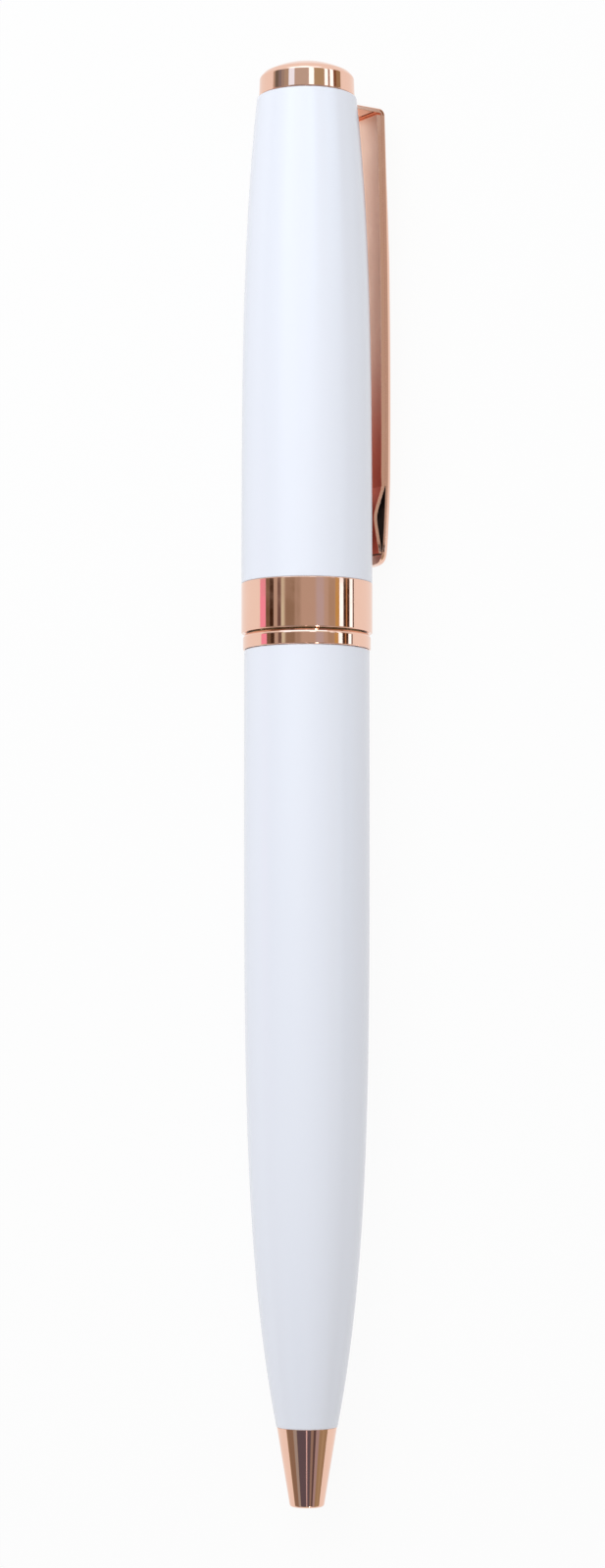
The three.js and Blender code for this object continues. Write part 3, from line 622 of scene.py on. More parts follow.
def ribs(count, start, end, width, low, high, rounding, crest=1.0, twist=0.0):
    """A ring of ribs along the pen. The outer face has a share of the width, and each rib may be twisted."""
    bm = block((start, -width / 2, low), (end, width / 2, high))
    outer = [vert for vert in bm.verts if vert.co.z > (low + high) / 2]
    bmesh.ops.scale(bm, vec=(1.0, crest, 1.0), verts=outer)
    rim = [edge for edge in bm.edges if all(vert in outer for vert in edge.verts)]
    rounded(bm, rim, rounding, 3)
    turn = Matrix.Rotation(twist, 3, "Z")
    bmesh.ops.rotate(bm, cent=((start + end) / 2, 0, 0), matrix=turn, verts=bm.verts)
    turned_about(bm, 2 * pi * (count - 1) / count, count - 1, use_duplicate=True)
    return bm


def peg(u, radius, low, high):
    """A round peg that stands across the pen."""
    bm = bmesh.new()
    bmesh.ops.create_cone(bm, cap_ends=True, segments=32, radius1=radius, radius2=radius, depth=high - low)
    bmesh.ops.translate(bm, vec=(u, 0, (low + high) / 2), verts=bm.verts)
    return bm


def threaded(start, end, root, crest, pitch):
    """A closed length of screw thread."""
    bm = bmesh.new()
    count = 2 * (int((end - start) / pitch) + 4)
    flanks = [(start + (i / 2 - 2) * pitch, 0.0, crest if i % 2 else root) for i in range(count)]
    outlined(bm, flanks, closed=False)
    turned_about(bm, 2 * pi, THREAD_STEPS, dvec=(pitch / THREAD_STEPS, 0, 0))
    bmesh.ops.remove_doubles(bm, verts=bm.verts, dist=1e-4)
    for station, front in ((start, True), (end, False)):
        everything = bm.verts[:] + bm.edges[:] + bm.faces[:]
        bmesh.ops.bisect_plane(bm, geom=everything, dist=1e-6, plane_co=(station, 0, 0), plane_no=(1, 0, 0),
                               clear_inner=front, clear_outer=not front)
    bmesh.ops.holes_fill(bm, edges=[edge for edge in bm.edges if edge.is_boundary], sides=0)
    return bm


def lower_outline(u):
    swell = ((U_LOWER_REAR - u) / LOWER_LENGTH) ** LOWER_SWELL
    return LOWER_REAR_RADIUS - (LOWER_REAR_RADIUS - LOWER_FRONT_RADIUS) * swell


def upper_outline(u):
    swell = (max(0.0, u - U_UPPER_FRONT) / UPPER_LENGTH) ** UPPER_SWELL
    return UPPER_FRONT_RADIUS - (UPPER_FRONT_RADIUS - UPPER_TOP_RADIUS) * swell


def tip_cone():
    spigot_end = TIP_LENGTH + TIP_SPIGOT_LENGTH
    show("tip_cone", spun([
        (0.0, TIP_BORE, 0.06),
        (0.0, TIP_FRONT_RADIUS, 0.2),
        (TIP_LENGTH, TIP_REAR_RADIUS, 0.04),
        (TIP_LENGTH, TIP_SPIGOT_RADIUS),
        (spigot_end, TIP_SPIGOT_RADIUS, 0.15),
        (spigot_end, TIP_CHAMBER_BORE, 0.08),
        (TIP_CHAMBER_DEPTH + TIP_CHAMBER_BORE - TIP_BORE, TIP_CHAMBER_BORE),
        (TIP_CHAMBER_DEPTH, TIP_BORE),
    ], OUTER_STEPS))


def lower_barrel():
    socket = TIP_SPIGOT_RADIUS + PRESS
    socket_end = TIP_LENGTH + TIP_SPIGOT_LENGTH + 0.3
    outline = [(u, lower_outline(u)) for u in spread(TIP_LENGTH, U_LOWER_REAR, 56, 1.25)]
    outline[0] = (*outline[0], 0.07)
    outline[-1] = (*outline[-1], 0.16)
    stations = spread(U_LOWER_REAR, socket_end, 24)[:-1]
    inside = [(u, max(GUIDE_BORE, lower_outline(u) - LOWER_WALL)) for u in stations]
    show("lower_barrel", spun([
        *outline,
        (U_LOWER_REAR, LOWER_NECK),
        (U_PARTING, LOWER_NECK, 0.05),
        (U_PARTING, LOWER_BORE, 0.05),
        *inside,
        (socket_end + 1.0, GUIDE_BORE),
        (socket_end, socket),
        (TIP_LENGTH, socket),
    ], OUTER_STEPS))


def trim_ring():
    inside = LOWER_NECK + PRESS
    show("trim_ring", spun([
        (U_LOWER_REAR, inside),
        (U_PARTING, inside),
        (U_PARTING, TRIM_RADIUS - TRIM_CHAMFER, 0.05),
        (U_PARTING - TRIM_CHAMFER_RUN, TRIM_RADIUS, 0.05),
        (U_LOWER_REAR, TRIM_RADIUS, 0.1),
    ], OUTER_STEPS))


def centre_band():
    inside = UPPER_NECK + PRESS
    show("centre_band", spun([
        (U_BAND, UPPER_BORE, 0.05),
        (U_BAND + BAND_LIP, UPPER_BORE),
        (U_BAND + BAND_LIP, inside),
        (U_UPPER_FRONT, inside),
        (U_UPPER_FRONT, BAND_RADIUS, 0.09),
        (U_BAND, BAND_RADIUS, 0.13),
    ], OUTER_STEPS))


def cut(bm, cutter_bm):
    """bm less the cutter, as a new bmesh."""
    body = linked("body_blank", mesh_from("body_blank", bm))
    cutter = linked("cutter_blank", mesh_from("cutter_blank", cutter_bm))
    modifier = body.modifiers.new("cut", "BOOLEAN")
    modifier.operation = "DIFFERENCE"
    modifier.solver = "EXACT"
    modifier.object = cutter
    mesh = applied(body)
    bpy.data.objects.remove(cutter)
    result = bmesh.new()
    result.from_mesh(mesh)
    bpy.data.meshes.remove(mesh)
    return result


def block(low, high):
    bm = bmesh.new()
    bmesh.ops.create_cube(bm, size=1.0)
    middle = (Vector(low) + Vector(high)) / 2
    size = Vector(high) - Vector(low)
    bmesh.ops.scale(bm, vec=size, verts=bm.verts)
    bmesh.ops.translate(bm, vec=middle, verts=bm.verts)
    return bm


def upper_barrel():
    outline = [(u, upper_outline(u)) for u in spread(U_UPPER_FRONT, U_UPPER_TOP, 52, 0.8)]
    outline[0] = (*outline[0], 0.09)
    outline[-1] = (*outline[-1], 0.13)
    bore_end = U_CASING + DRIVE_START + DRIVE_LENGTH + RUNNING
    stations = spread(U_UPPER_TOP, bore_end, 18)[:-1]
    inside = [(u, min(UPPER_BORE, upper_outline(u) - UPPER_WALL)) for u in stations]
    inside[0] = (*inside[0], 0.05)
    body = spun([
        (U_BAND + BAND_LIP, UPPER_BORE),
        (U_BAND + BAND_LIP, UPPER_NECK),
        (U_UPPER_FRONT, UPPER_NECK),
        *outline,
        *inside,
        (bore_end, UPPER_BORE),
    ], OUTER_STEPS)
    reach = CLIP_HALF + SLOT_FIT
    slot = block((SLOT_FOOT, -reach, -UPPER_FRONT_RADIUS - 2), (SLOT_TOP, reach, -STUD_RADIUS - PRESS))
    rounded(slot, slot.edges[:], 0.05, 3)
    show("upper_barrel", cut(body, slot))


def crown():
    shoulder = CROWN_SIDE_RADIUS - CROWN_SHOULDER * CROWN_SHOULDER_SLANT
    dome = (shoulder ** 2 + CROWN_RISE ** 2) / (2 * CROWN_RISE)
    opening = asin(shoulder / dome)
    cap = [(U_APEX - dome + dome * cos(a), dome * sin(a)) for a in spread(opening, 0.0, 22)]
    cap[-1] = (U_APEX, 0.0)
    socket = STUD_RADIUS + PRESS
    spigot = upper_outline(U_UPPER_TOP) - UPPER_WALL - CROWN_SPIGOT_FIT
    side_end = U_CROWN + CROWN_SIDE
    show("crown", spun([
        (U_CROWN + STUD_SEAT, 0.0),
        (U_CROWN + STUD_SEAT, socket),
        (U_CROWN - CROWN_SPIGOT_LENGTH, socket, 0.05),
        (U_CROWN - CROWN_SPIGOT_LENGTH, spigot, 0.08),
        (U_CROWN, spigot),
        (U_CROWN, CROWN_FOOT_RADIUS, 0.12),
        (side_end, CROWN_SIDE_RADIUS, 0.14),
        *cap,
    ], OUTER_STEPS, closed=False), sharp=50.0)


tip_cone()
lower_barrel()
trim_ring()
centre_band()
upper_barrel()
crown()


# Pocket clip
def seam_radius(u):
    dip = max(0.0, (CLIP_END + CLIP_END_RUN - u) / CLIP_END_RUN)
    return CLIP_BOW_RADIUS - CLIP_BOW * (u - CLIP_BOW_STATION) ** 2 - CLIP_END_DIP * dip ** 1.5


def end_half(u):
    share = min(1.0, max(0.0, (CLIP_END + CLIP_HALF - u) / CLIP_HALF))
    return CLIP_HALF * (1 - share ** CLIP_END_SQUARENESS) ** (1 / CLIP_END_SQUARENESS)


def smooth_step(t):
    t = min(1.0, max(0.0, t))
    return t * t * (3 - 2 * t)


def rounded_section(corners):
    """The (side, height) points of a flat outline of (side, height, corner rounding), once rounded."""
    bm = bmesh.new()
    verts = outlined(bm, [(side, height, 0.0) for side, height, _ in corners])
    for vert, corner in zip(verts, corners):
        if corner[2] > 0:
            rounded(bm, [vert], corner[2], 3, "VERTICES")
    start = min(bm.verts, key=lambda v: (round(v.co.y, 6), v.co.x))
    order = [start]
    edge = min(start.link_edges, key=lambda e: -e.other_vert(start).co.x)
    vert = edge.other_vert(start)
    while vert is not start:
        order.append(vert)
        edge = next(e for e in vert.link_edges if e is not edge)
        vert = edge.other_vert(vert)
    points = [(v.co.x, v.co.y) for v in order]
    bm.free()
    return points


def crowned_section(half, flat, rise):
    """Flat base, low flanks and a crowned top, with rounded edges where the crown springs from the flanks."""
    most = min(0.3 * half, 0.4 * flat)
    edge = min(CLIP_EDGE, most)
    brow = min(CLIP_BROW, most)
    low = CLIP_SPRING_ANGLE
    arch = [(half * cos(a), flat + rise * sin(a), 0.0) for a in spread(low, pi - low, 14)]
    flanks = [(half, flat, brow), *arch, (-half, flat, brow)]
    return rounded_section([(-half, 0.0, edge), (half, 0.0, edge), *flanks])


def flat_section(half, low, high):
    corners = ((-half, low), (half, low), (half, high), (-half, high))
    return rounded_section([(*corner, CLIP_INNER_EDGE) for corner in corners])


def ring(bm, station, radius, normal, section):
    """One ring of a strip: the section on a point of the clip's side profile, its height along the normal."""
    return outlined(bm, [(station + h * normal[0], s, -(radius + h * normal[1])) for s, h in section])


def lofted(bm, rings):
    for pair in zip(rings, rings[1:]):
        edges = [bm.edges.get(side) for verts in pair for side in zip(verts, verts[1:] + verts[:1])]
        bmesh.ops.bridge_loops(bm, edges=edges)
    for verts in (rings[0], rings[-1]):
        bmesh.ops.contextual_create(bm, geom=verts)


def clip_outer(bm):
    rings = []
    leaf_top = ARM_UNDER - CLIP_BEND
    bend_foot = seam_radius(leaf_top) - CLIP_BEND
    top_section = crowned_section(CLIP_HALF, CLIP_TOP_FLAT, CLIP_TOP_CROWN)
    for rho in spread(CLIP_TAB, bend_foot, 6):
        rings.append(ring(bm, ARM_UNDER, rho, (1, 0), top_section))
    for angle in spread(0.0, pi / 2, 8)[1:-1]:
        normal = (cos(angle), sin(angle))
        station = leaf_top + CLIP_BEND * normal[0]
        radius = bend_foot + CLIP_BEND * normal[1]
        rings.append(ring(bm, station, radius, normal, top_section))
    straight_end = CLIP_END + CLIP_HALF
    stations = spread(leaf_top, straight_end, 46)
    stations += [straight_end - CLIP_HALF * sin(a) for a in spread(0.0, radians(84), 12)[1:]]
    near = 0.05
    for u in stations:
        t = smooth_step((leaf_top - u) / CLIP_CROWN_RUN)
        half = end_half(u)
        taper = CLIP_END_THIN + (1 - CLIP_END_THIN) * half / CLIP_HALF
        flat = (CLIP_TOP_FLAT + (CLIP_FLAT - CLIP_TOP_FLAT) * t) * taper
        rise = (CLIP_TOP_CROWN + (CLIP_CROWN - CLIP_TOP_CROWN) * t) * taper
        slope = (seam_radius(u + near) - seam_radius(u - near)) / (2 * near)
        normal = Vector((-slope, 1)).normalized()
        rings.append(ring(bm, u, seam_radius(u), normal, crowned_section(half, flat, rise)))
    lofted(bm, rings)


def clip_inner(bm):
    half = CLIP_HALF - CLIP_INSET
    leave = NOSE_STATION + NOSE_RISE
    meet = NOSE_STATION - NOSE_FALL
    depth = seam_radius(NOSE_STATION) - NOSE_LAYER - upper_outline(NOSE_STATION) - NOSE_GAP

    def drop(u):
        side = NOSE_RISE if u > NOSE_STATION else NOSE_FALL
        reach = hypot(side, NOSE_ROUND) - NOSE_ROUND
        run = hypot(u - NOSE_STATION, NOSE_ROUND) - NOSE_ROUND
        return max(0.0, depth * (1 - run / reach))

    top = ARM_UNDER - CLIP_BEND
    stations = spread(top, leave, 40) + spread(leave, meet, 44)[1:]
    rings = []
    blend = 1.0
    for u in stations:
        t = smooth_step((leave + blend - u) / (2 * blend))
        thickness = CLIP_INNER + (NOSE_LAYER - CLIP_INNER) * t
        width = min(half, end_half(u) - CLIP_INSET)
        section = flat_section(width, -thickness, SEAM_REACH)
        rings.append(ring(bm, u, seam_radius(u) - drop(u), (0, 1), section))
    lofted(bm, rings)


def mark_undersides(bm):
    """Marks the faces between the two layers at the nose for the near-black plate of painted shade, and those
    towards the barrel for the satin plate with its painted light and red shade.
    """
    bmesh.ops.recalc_face_normals(bm, faces=bm.faces)
    for face in bm.faces:
        middle = face.calc_center_median()
        height = -middle.z - seam_radius(middle.x)
        inside = NOSE_STATION - NOSE_FALL < middle.x < NOSE_STATION + NOSE_RISE
        under_outer = abs(height) < SEAM_REACH and face.normal.z > 0.5
        over_inner = height < -SEAM_REACH and face.normal.z < -0.5
        if inside and (under_outer or over_inner):
            face.material_index = FOLD_SHADE
        elif height < -SEAM_REACH and face.normal.z > 0.5 and middle.x < ARM_UNDER - CLIP_BEND:
            face.material_index = SATIN_PAINTED_SHADE


def pocket_clip():
    bm = bmesh.new()
    clip_outer(bm)
    clip_inner(bm)
    mark_undersides(bm)
    show("pocket_clip", bm, sharp=40.0, others=CLIP_FINISHES)


pocket_clip()


# Mechanism, cartridge and fastenings
def turned_piece(name, profile, closed=True):
    show(name, spun(profile, INNER_STEPS, closed))


def tube(front, rear, bore, radius, inner, outer):
    """A plain tube. The edges of its bore and of its outside have roundings of their own."""
    ends = ((front, bore, inner), (rear, bore, inner), (rear, radius, outer), (front, radius, outer))
    return spun(ends, INNER_STEPS)


def barrel_bush():
    front = U_PARTING - BUSH_LENGTH
    turned_piece("barrel_bush", [
        (front, BUSH_BORE, 0.1),
        (U_PARTING - 0.3, BUSH_BORE),
        (U_PARTING, BUSH_BORE + 0.2, 0.03),
        (U_PARTING, BUSH_RADIUS, 0.05),
        *grooved(spread(U_PARTING - 2.5, front + 2.5, 5), BUSH_RADIUS, 0.5, 0.1),
        (front, BUSH_RADIUS, 0.15),
    ])


def mechanism_nose():
    front = U_PARTING - NOSE_DEPTH
    step = U_PARTING + PARTING_GAP / 2
    spigot_rear = U_COLLAR + SPIGOT_LENGTH
    seat = GUIDE_RADIUS + PRESS
    seat_front = spigot_rear - GUIDE_SEAT_LENGTH - PRESS
    collar = UPPER_BORE - RUNNING
    groove_foot = SPIGOT_RADIUS - GROOVE_DEPTH
    bm = spun([
        (front, GUIDE_BORE, 0.12),
        (seat_front, GUIDE_BORE),
        (seat_front, seat),
        (spigot_rear, seat, 0.05),
        (spigot_rear, SPIGOT_RADIUS, 0.08),
        (U_SEAL + GROOVE_WIDTH / 2, SPIGOT_RADIUS, 0.04),
        (U_SEAL + GROOVE_WIDTH / 2, groove_foot, 0.05),
        (U_SEAL - GROOVE_WIDTH / 2, groove_foot, 0.05),
        (U_SEAL - GROOVE_WIDTH / 2, SPIGOT_RADIUS, 0.04),
        (U_COLLAR, SPIGOT_RADIUS),
        (U_COLLAR, collar, 0.1),
        (step, collar, 0.08),
        (step, NOSE_RADIUS),
        *grooved([step - 0.6, step - 1.3], NOSE_RADIUS, 0.35, 0.08),
        (front + 0.4, NOSE_RADIUS, 0.12),
        (front, NOSE_RADIUS - 0.4, 0.06),
    ], OUTER_STEPS)
    start = front + 0.8
    root = (GUIDE_BORE + NOSE_RADIUS) / 2
    end = start + NOSE_RIB_LENGTH
    joined(bm, ribs(NOSE_RIBS, start, end, 0.6, root, NOSE_RADIUS + NOSE_RIB_HEIGHT, 0.04))
    show("mechanism_nose", bm)


def friction_seal():
    bm = bmesh.new()
    bmesh.ops.create_circle(bm, segments=20, radius=SEAL_RADIUS)
    bmesh.ops.rotate(bm, cent=(0, 0, 0), matrix=Matrix.Rotation(pi / 2, 3, "X"), verts=bm.verts)
    centre = SPIGOT_RADIUS - GROOVE_DEPTH + PRESS + SEAL_RADIUS
    bmesh.ops.translate(bm, vec=(U_SEAL, 0, centre), verts=bm.verts)
    turned_about(bm, 2 * pi, INNER_STEPS, use_merge=True)
    show("friction_seal", bm, sharp=60.0)


def guide_tube():
    front = U_COLLAR + SPIGOT_LENGTH - GUIDE_SEAT_LENGTH
    rear = U_PIN + GUIDE_TAIL
    body = tube(front, rear, GUIDE_BORE, GUIDE_RADIUS, 0.06, 0.1)
    slot = block((U_PIN - TRAVEL - SLOT_HALF, -SLOT_HALF, GUIDE_BORE - 0.5),
                 (U_PIN + SLOT_HALF, SLOT_HALF, GUIDE_RADIUS + 0.5))
    upright = [edge for edge in slot.edges if abs(edge.verts[0].co.z - edge.verts[1].co.z) > 0.1]
    rounded(slot, upright, 0.999 * SLOT_HALF, 10)
    show("guide_tube", cut(body, slot))


def plunger():
    front = U_PIN - PLUNGER_FRONT
    rear = U_PIN + PLUNGER_REAR
    socket_end = front + THREAD_LENGTH + 0.3
    body = spun([
        (socket_end, 0.0),
        (socket_end, THREAD_RADIUS + PRESS),
        (front, THREAD_RADIUS + PRESS, 0.1),
        (front, PLUNGER_RADIUS, 0.15),
        *grooved([front + 1.2, front + 2.0], PLUNGER_RADIUS, 0.4, 0.12),
        (rear, PLUNGER_RADIUS, 0.4),
        (rear, 0.0),
    ], INNER_STEPS, closed=False)
    show("plunger", cut(body, peg(U_PIN, PIN_RADIUS + 0.03, -PLUNGER_RADIUS / 2, PLUNGER_RADIUS + 0.5)))


def follower_pin():
    bm = peg(U_PIN, PIN_RADIUS, PRESS - PLUNGER_RADIUS / 2, CAM_RADIUS - PRESS)
    rim = [edge for edge in bm.edges if abs(edge.verts[0].co.z - edge.verts[1].co.z) < 0.1]
    rounded(bm, rim, 0.08, 3)
    show("follower_pin", bm)


def cartridge_adapter():
    inside = CARTRIDGE_RADIUS - CARTRIDGE_WALL - PRESS
    flange = U_PIN - PLUNGER_FRONT - 0.1
    rear = U_PIN - PLUNGER_FRONT + THREAD_LENGTH
    bm = spun([
        (U_CARTRIDGE_END - 2.5, 0.0),
        (U_CARTRIDGE_END - 2.5, inside, 0.2),
        (U_CARTRIDGE_END, inside),
        (U_CARTRIDGE_END, CARTRIDGE_RADIUS - 0.1, 0.06),
        (flange, CARTRIDGE_RADIUS - 0.1, 0.1),
        (flange, THREAD_RADIUS - 0.3),
        (rear, THREAD_RADIUS - 0.3, 0.2),
        (rear, 0.0),
    ], INNER_STEPS, closed=False)
    joined(bm, threaded(flange + 0.3, rear - 0.3, THREAD_RADIUS - 0.35, THREAD_RADIUS, 0.7))
    show("cartridge_adapter", bm)


def cartridge_tube():
    socket = POINT_RADIUS + PRESS
    shoulder = U_POINT_TUBE + 5.2
    inside = CARTRIDGE_RADIUS - CARTRIDGE_WALL
    turned_piece("cartridge_tube", [
        (U_POINT_TUBE, socket, 0.03),
        (U_POINT_TUBE, socket + 0.4, 0.12),
        (shoulder, CARTRIDGE_RADIUS, 0.9),
        *grooved([shoulder + 3.0, shoulder + 4.0], CARTRIDGE_RADIUS, 0.5, 0.07),
        (U_CARTRIDGE_END, CARTRIDGE_RADIUS, 0.08),
        (U_CARTRIDGE_END, inside, 0.05),
        (shoulder + 0.6, inside),
        (U_POINT_TUBE + POINT_SEAT + PRESS, socket),
    ])


def point_holder():
    mouth = BALL_RADIUS + 0.04
    rear = U_POINT_TUBE + POINT_SEAT
    turned_piece("point_holder", [
        (BALL_STATION + mouth, 0.0),
        (BALL_STATION + mouth, mouth, 0.1),
        (BALL_STATION, mouth),
        (BALL_STATION, mouth + 0.06, 0.02),
        (BALL_STATION + 1.3, 0.9),
        (BALL_STATION + 1.35, 0.98, 0.02),
        (BALL_STATION + 2.0, POINT_RADIUS, 0.1),
        *grooved([U_POINT_TUBE - 1.6, U_POINT_TUBE - 0.9], POINT_RADIUS, 0.35, 0.08),
        (rear, POINT_RADIUS, 0.1),
        (rear, 0.0),
    ], closed=False)


def writing_ball():
    bm = bmesh.new()
    bmesh.ops.create_uvsphere(bm, u_segments=32, v_segments=20, radius=BALL_RADIUS)
    bmesh.ops.translate(bm, vec=(BALL_STATION, 0, 0), verts=bm.verts)
    show("writing_ball", bm)


def helical_cutter():
    """A half-turn band wide enough for the pin, as a closed shell."""
    lead = TRAVEL / pi
    half = SLOT_HALF * hypot(1.0, lead / ((CAM_BORE + CAM_RADIUS) / 2))
    low, high = CAM_BORE - 0.5, CAM_RADIUS + 0.5
    bm = bmesh.new()
    corners = [(U_PIN - half, low), (U_PIN + half, low), (U_PIN + half, high), (U_PIN - half, high)]
    outlined(bm, [(u, 0.0, r) for u, r in corners])
    turned_about(bm, pi, HELIX_STEPS, dvec=(-TRAVEL / HELIX_STEPS, 0, 0))
    bmesh.ops.holes_fill(bm, edges=[edge for edge in bm.edges if edge.is_boundary], sides=4)
    bmesh.ops.recalc_face_normals(bm, faces=bm.faces)
    return bm


def cam_sleeve():
    front = U_PIN - TRAVEL - CAM_MARGIN
    rear = U_PIN + CAM_MARGIN
    body = cut(tube(front, rear, CAM_BORE, CAM_RADIUS, 0.08, 0.12), helical_cutter())
    body = cut(body, peg(U_PIN, SLOT_HALF, CAM_BORE - 0.5, CAM_RADIUS + 0.5))
    body = cut(body, peg(U_PIN - TRAVEL, SLOT_HALF, -CAM_RADIUS - 0.5, 0.5 - CAM_BORE))
    show("cam_sleeve", body)


def mechanism_casing():
    turned_piece("mechanism_casing", [
        (U_CASING, CASING_BORE, 0.06),
        (U_CASING_REAR, CASING_BORE, 0.06),
        (U_CASING_REAR, CASING_RADIUS, 0.1),
        *grooved([U_CASING_REAR - 1.0, U_CASING_REAR - 2.0], CASING_RADIUS, 0.4, 0.06),
        (U_CASING, CASING_RADIUS, 0.1),
    ])


def casing_plug():
    front = U_CASING_REAR - 1.0
    skirt = CASING_BORE - PRESS
    turned_piece("casing_plug", [
        (front, 0.0),
        (front, skirt - 0.8, 0.1),
        (front - 1.0, skirt - 0.8, 0.05),
        (front - 1.0, skirt, 0.1),
        (U_CASING_REAR, skirt, 0.12),
        (U_CASING_REAR, 1.1, 0.06),
        (U_CASING_REAR - 0.35, 0.8, 0.06),
        (U_CASING_REAR - 0.35, 0.0),
    ], closed=False)


def drive_bush():
    front = U_CASING + DRIVE_START
    rear = front + DRIVE_LENGTH
    root = DRIVE_RADIUS - DRIVE_TOOTH
    relief = root - 0.4
    bm = spun([
        (front, DRIVE_BORE, 0.1),
        (front + DRIVE_LAND, DRIVE_BORE, 0.05),
        (front + DRIVE_LAND, relief, 0.1),
        (rear - DRIVE_LAND, relief, 0.1),
        (rear - DRIVE_LAND, DRIVE_BORE, 0.05),
        (rear, DRIVE_BORE, 0.1),
        (rear, root, 0.1),
        (front, root, 0.1),
    ], INNER_STEPS)
    teeth = ribs(DRIVE_TEETH, front + 0.12, rear - 0.12, 1.12, root - 0.12, DRIVE_RADIUS, 0.06, crest=0.52)
    joined(bm, teeth)
    show("drive_bush", bm)


def top_insert():
    top = U_INSERT_TOP
    foot = top - INSERT_LENGTH
    foot_bore = upper_outline(foot) - UPPER_WALL
    turned_piece("top_insert", [
        (foot, STUD_RADIUS + RUNNING, 0.12),
        (top, STUD_RADIUS + RUNNING, 0.12),
        (top, upper_outline(top) - UPPER_WALL - PRESS - 0.03, 0.1),
        *grooved([top - 1.2, foot + 1.2], foot_bore - PRESS - 0.12, 0.4, 0.1),
        (foot, foot_bore - PRESS - 0.1, 0.12),
    ])


def lock_washer():
    rear = U_INSERT_TOP - INSERT_LENGTH
    front = rear - WASHER_THICKNESS
    bm = tube(front, rear, STUD_RADIUS + RUNNING, WASHER_BODY_RADIUS, 0.04, 0.04)
    root = WASHER_BODY_RADIUS - 0.15
    crest = WASHER_RADIUS - 0.02
    joined(bm, ribs(WASHER_TEETH, front + 0.07, rear - 0.07, 0.75, root, crest, 0.04, twist=radians(7)))
    show("lock_washer", bm)


def stud_nut():
    top = U_INSERT_TOP - INSERT_LENGTH - WASHER_THICKNESS
    foot = top - NUT_HEIGHT
    bm = bmesh.new()
    across = NUT_WIDTH / 3 ** 0.5
    bmesh.ops.create_cone(bm, cap_ends=True, segments=6, radius1=across, radius2=across, depth=NUT_HEIGHT)
    rounded(bm, bm.edges[:], 0.14, 4)
    bmesh.ops.rotate(bm, cent=(0, 0, 0), matrix=Matrix.Rotation(pi / 2, 3, "Y"), verts=bm.verts)
    bmesh.ops.translate(bm, vec=((top + foot) / 2, 0, 0), verts=bm.verts)
    hole = STUD_RADIUS + PRESS
    drill = spun([
        (foot - 0.5, 0.0),
        (foot - 0.5, hole + 0.75),
        (foot + 0.25, hole),
        (top - 0.25, hole),
        (top + 0.5, hole + 0.75),
        (top + 0.5, 0.0),
    ], INNER_STEPS, closed=False)
    show("stud_nut", cut(bm, drill))


def crown_stud():
    head = U_CROWN + STUD_SEAT - PRESS
    foot = head - STUD_LENGTH
    root = STUD_RADIUS - 0.24
    bm = spun([
        (foot, 0.0),
        (foot, root, 0.2),
        (head, root, 0.1),
        (head, 0.0),
    ], INNER_STEPS, closed=False)
    joined(bm, threaded(foot + 0.25, head - 0.15, root - 0.02, STUD_RADIUS, 0.5))
    show("crown_stud", bm)


barrel_bush()
mechanism_nose()
friction_seal()
guide_tube()
plunger()
follower_pin()
cartridge_adapter()
cartridge_tube()
point_holder()
writing_ball()
cam_sleeve()
mechanism_casing()
casing_plug()
drive_bush()
top_insert()
lock_washer()
stud_nut()
crown_stud()


# Table, light and camera. The table glows, as seen and as light on the pen, by these shares
TABLE_GLOW = 0.92
TABLE_BOUNCE = 0.6


def table_top():
    bm = bmesh.new()
    bmesh.ops.create_grid(bm, x_segments=1, y_segments=1, size=3.0)
    mesh = mesh_from("table_top", bm)
    piece = linked("table_top", mesh)
    made = bpy.data.materials.new("white_table")
    tree = emptied(made)
    paint = node(tree, "ShaderNodeBsdfDiffuse")
    feed(tree, (0.8, 0.8, 0.8), paint.inputs["Color"])
    glow = node(tree, "ShaderNodeEmission")
    ray = node(tree, "ShaderNodeLightPath").outputs
    seen = math_node(tree, "MAXIMUM", ray["Is Camera Ray"], ray["Is Glossy Ray"])
    seen = math_node(tree, "MAXIMUM", seen, ray["Is Transmission Ray"])
    seen_glow = math_node(tree, "MULTIPLY", seen, TABLE_GLOW)
    bounced_glow = math_node(tree, "MULTIPLY", ray["Is Diffuse Ray"], TABLE_BOUNCE)
    share = math_node(tree, "MAXIMUM", seen_glow, bounced_glow)
    blend = mix_shaders(tree, share, paint.outputs[0], glow.outputs[0])
    wire(tree, blend, node(tree, "ShaderNodeOutputMaterial").inputs["Surface"])
    mesh.materials.append(made)


def ceiling_panel():
    """1 inside a patch of the room, given by its angles across and along the pen, with soft edges."""
    inputs = ("Across", "Along", "Left", "Right", "Near", "Far", "Edge", "Run")
    tree, given, result = effect("ceiling_panel", inputs, ("Mask",))
    masks = []
    for angle, low, high, soft in (("Across", "Left", "Right", "Edge"), ("Along", "Near", "Far", "Run")):
        for side, sign in ((low, 1.0), (high, -1.0)):
            distance = math_node(tree, "SUBTRACT", given.outputs[angle], given.outputs[side])
            distance = math_node(tree, "MULTIPLY", distance, sign)
            share = math_node(tree, "DIVIDE", distance, given.outputs[soft])
            masks.append(ramp_between(tree, share, -0.5, 0.5))
    total = masks[0]
    for mask in masks[1:]:
        total = math_node(tree, "MULTIPLY", total, mask)
    wire(tree, total, result.inputs["Mask"])
    return tree


# The room that polished metal mirrors. Its walls are warm because the metal is seen against them
WALL = (0.545, 0.475, 0.417)
DIM_WALL = (0.31, 0.25, 0.185)
BROWN = (0.19, 0.13, 0.085)
DARK = (0.05, 0.022, 0.01)
GREY = (0.70, 0.78, 0.64)
DUSK = (0.13, 0.12, 0.16)
SLATE = (0.19, 0.18, 0.16)
MAUVE = (0.54, 0.53, 0.60)
GOLD = (0.60, 0.42, 0.14)
PINK = (1.05, 0.42, 0.66)
GLARE = (1.5, 1.9, 2.2)
LAMP = (30.0, 30.0, 28.0)

# Spans of the room, in degrees along the pen, that its tip, centre band and crown mirror
BY_TIP = (-58, -14)
BY_BAND = (-2, 7.6)
BY_CROWN = (15.0, 34)
WHOLE = (-58, 34)

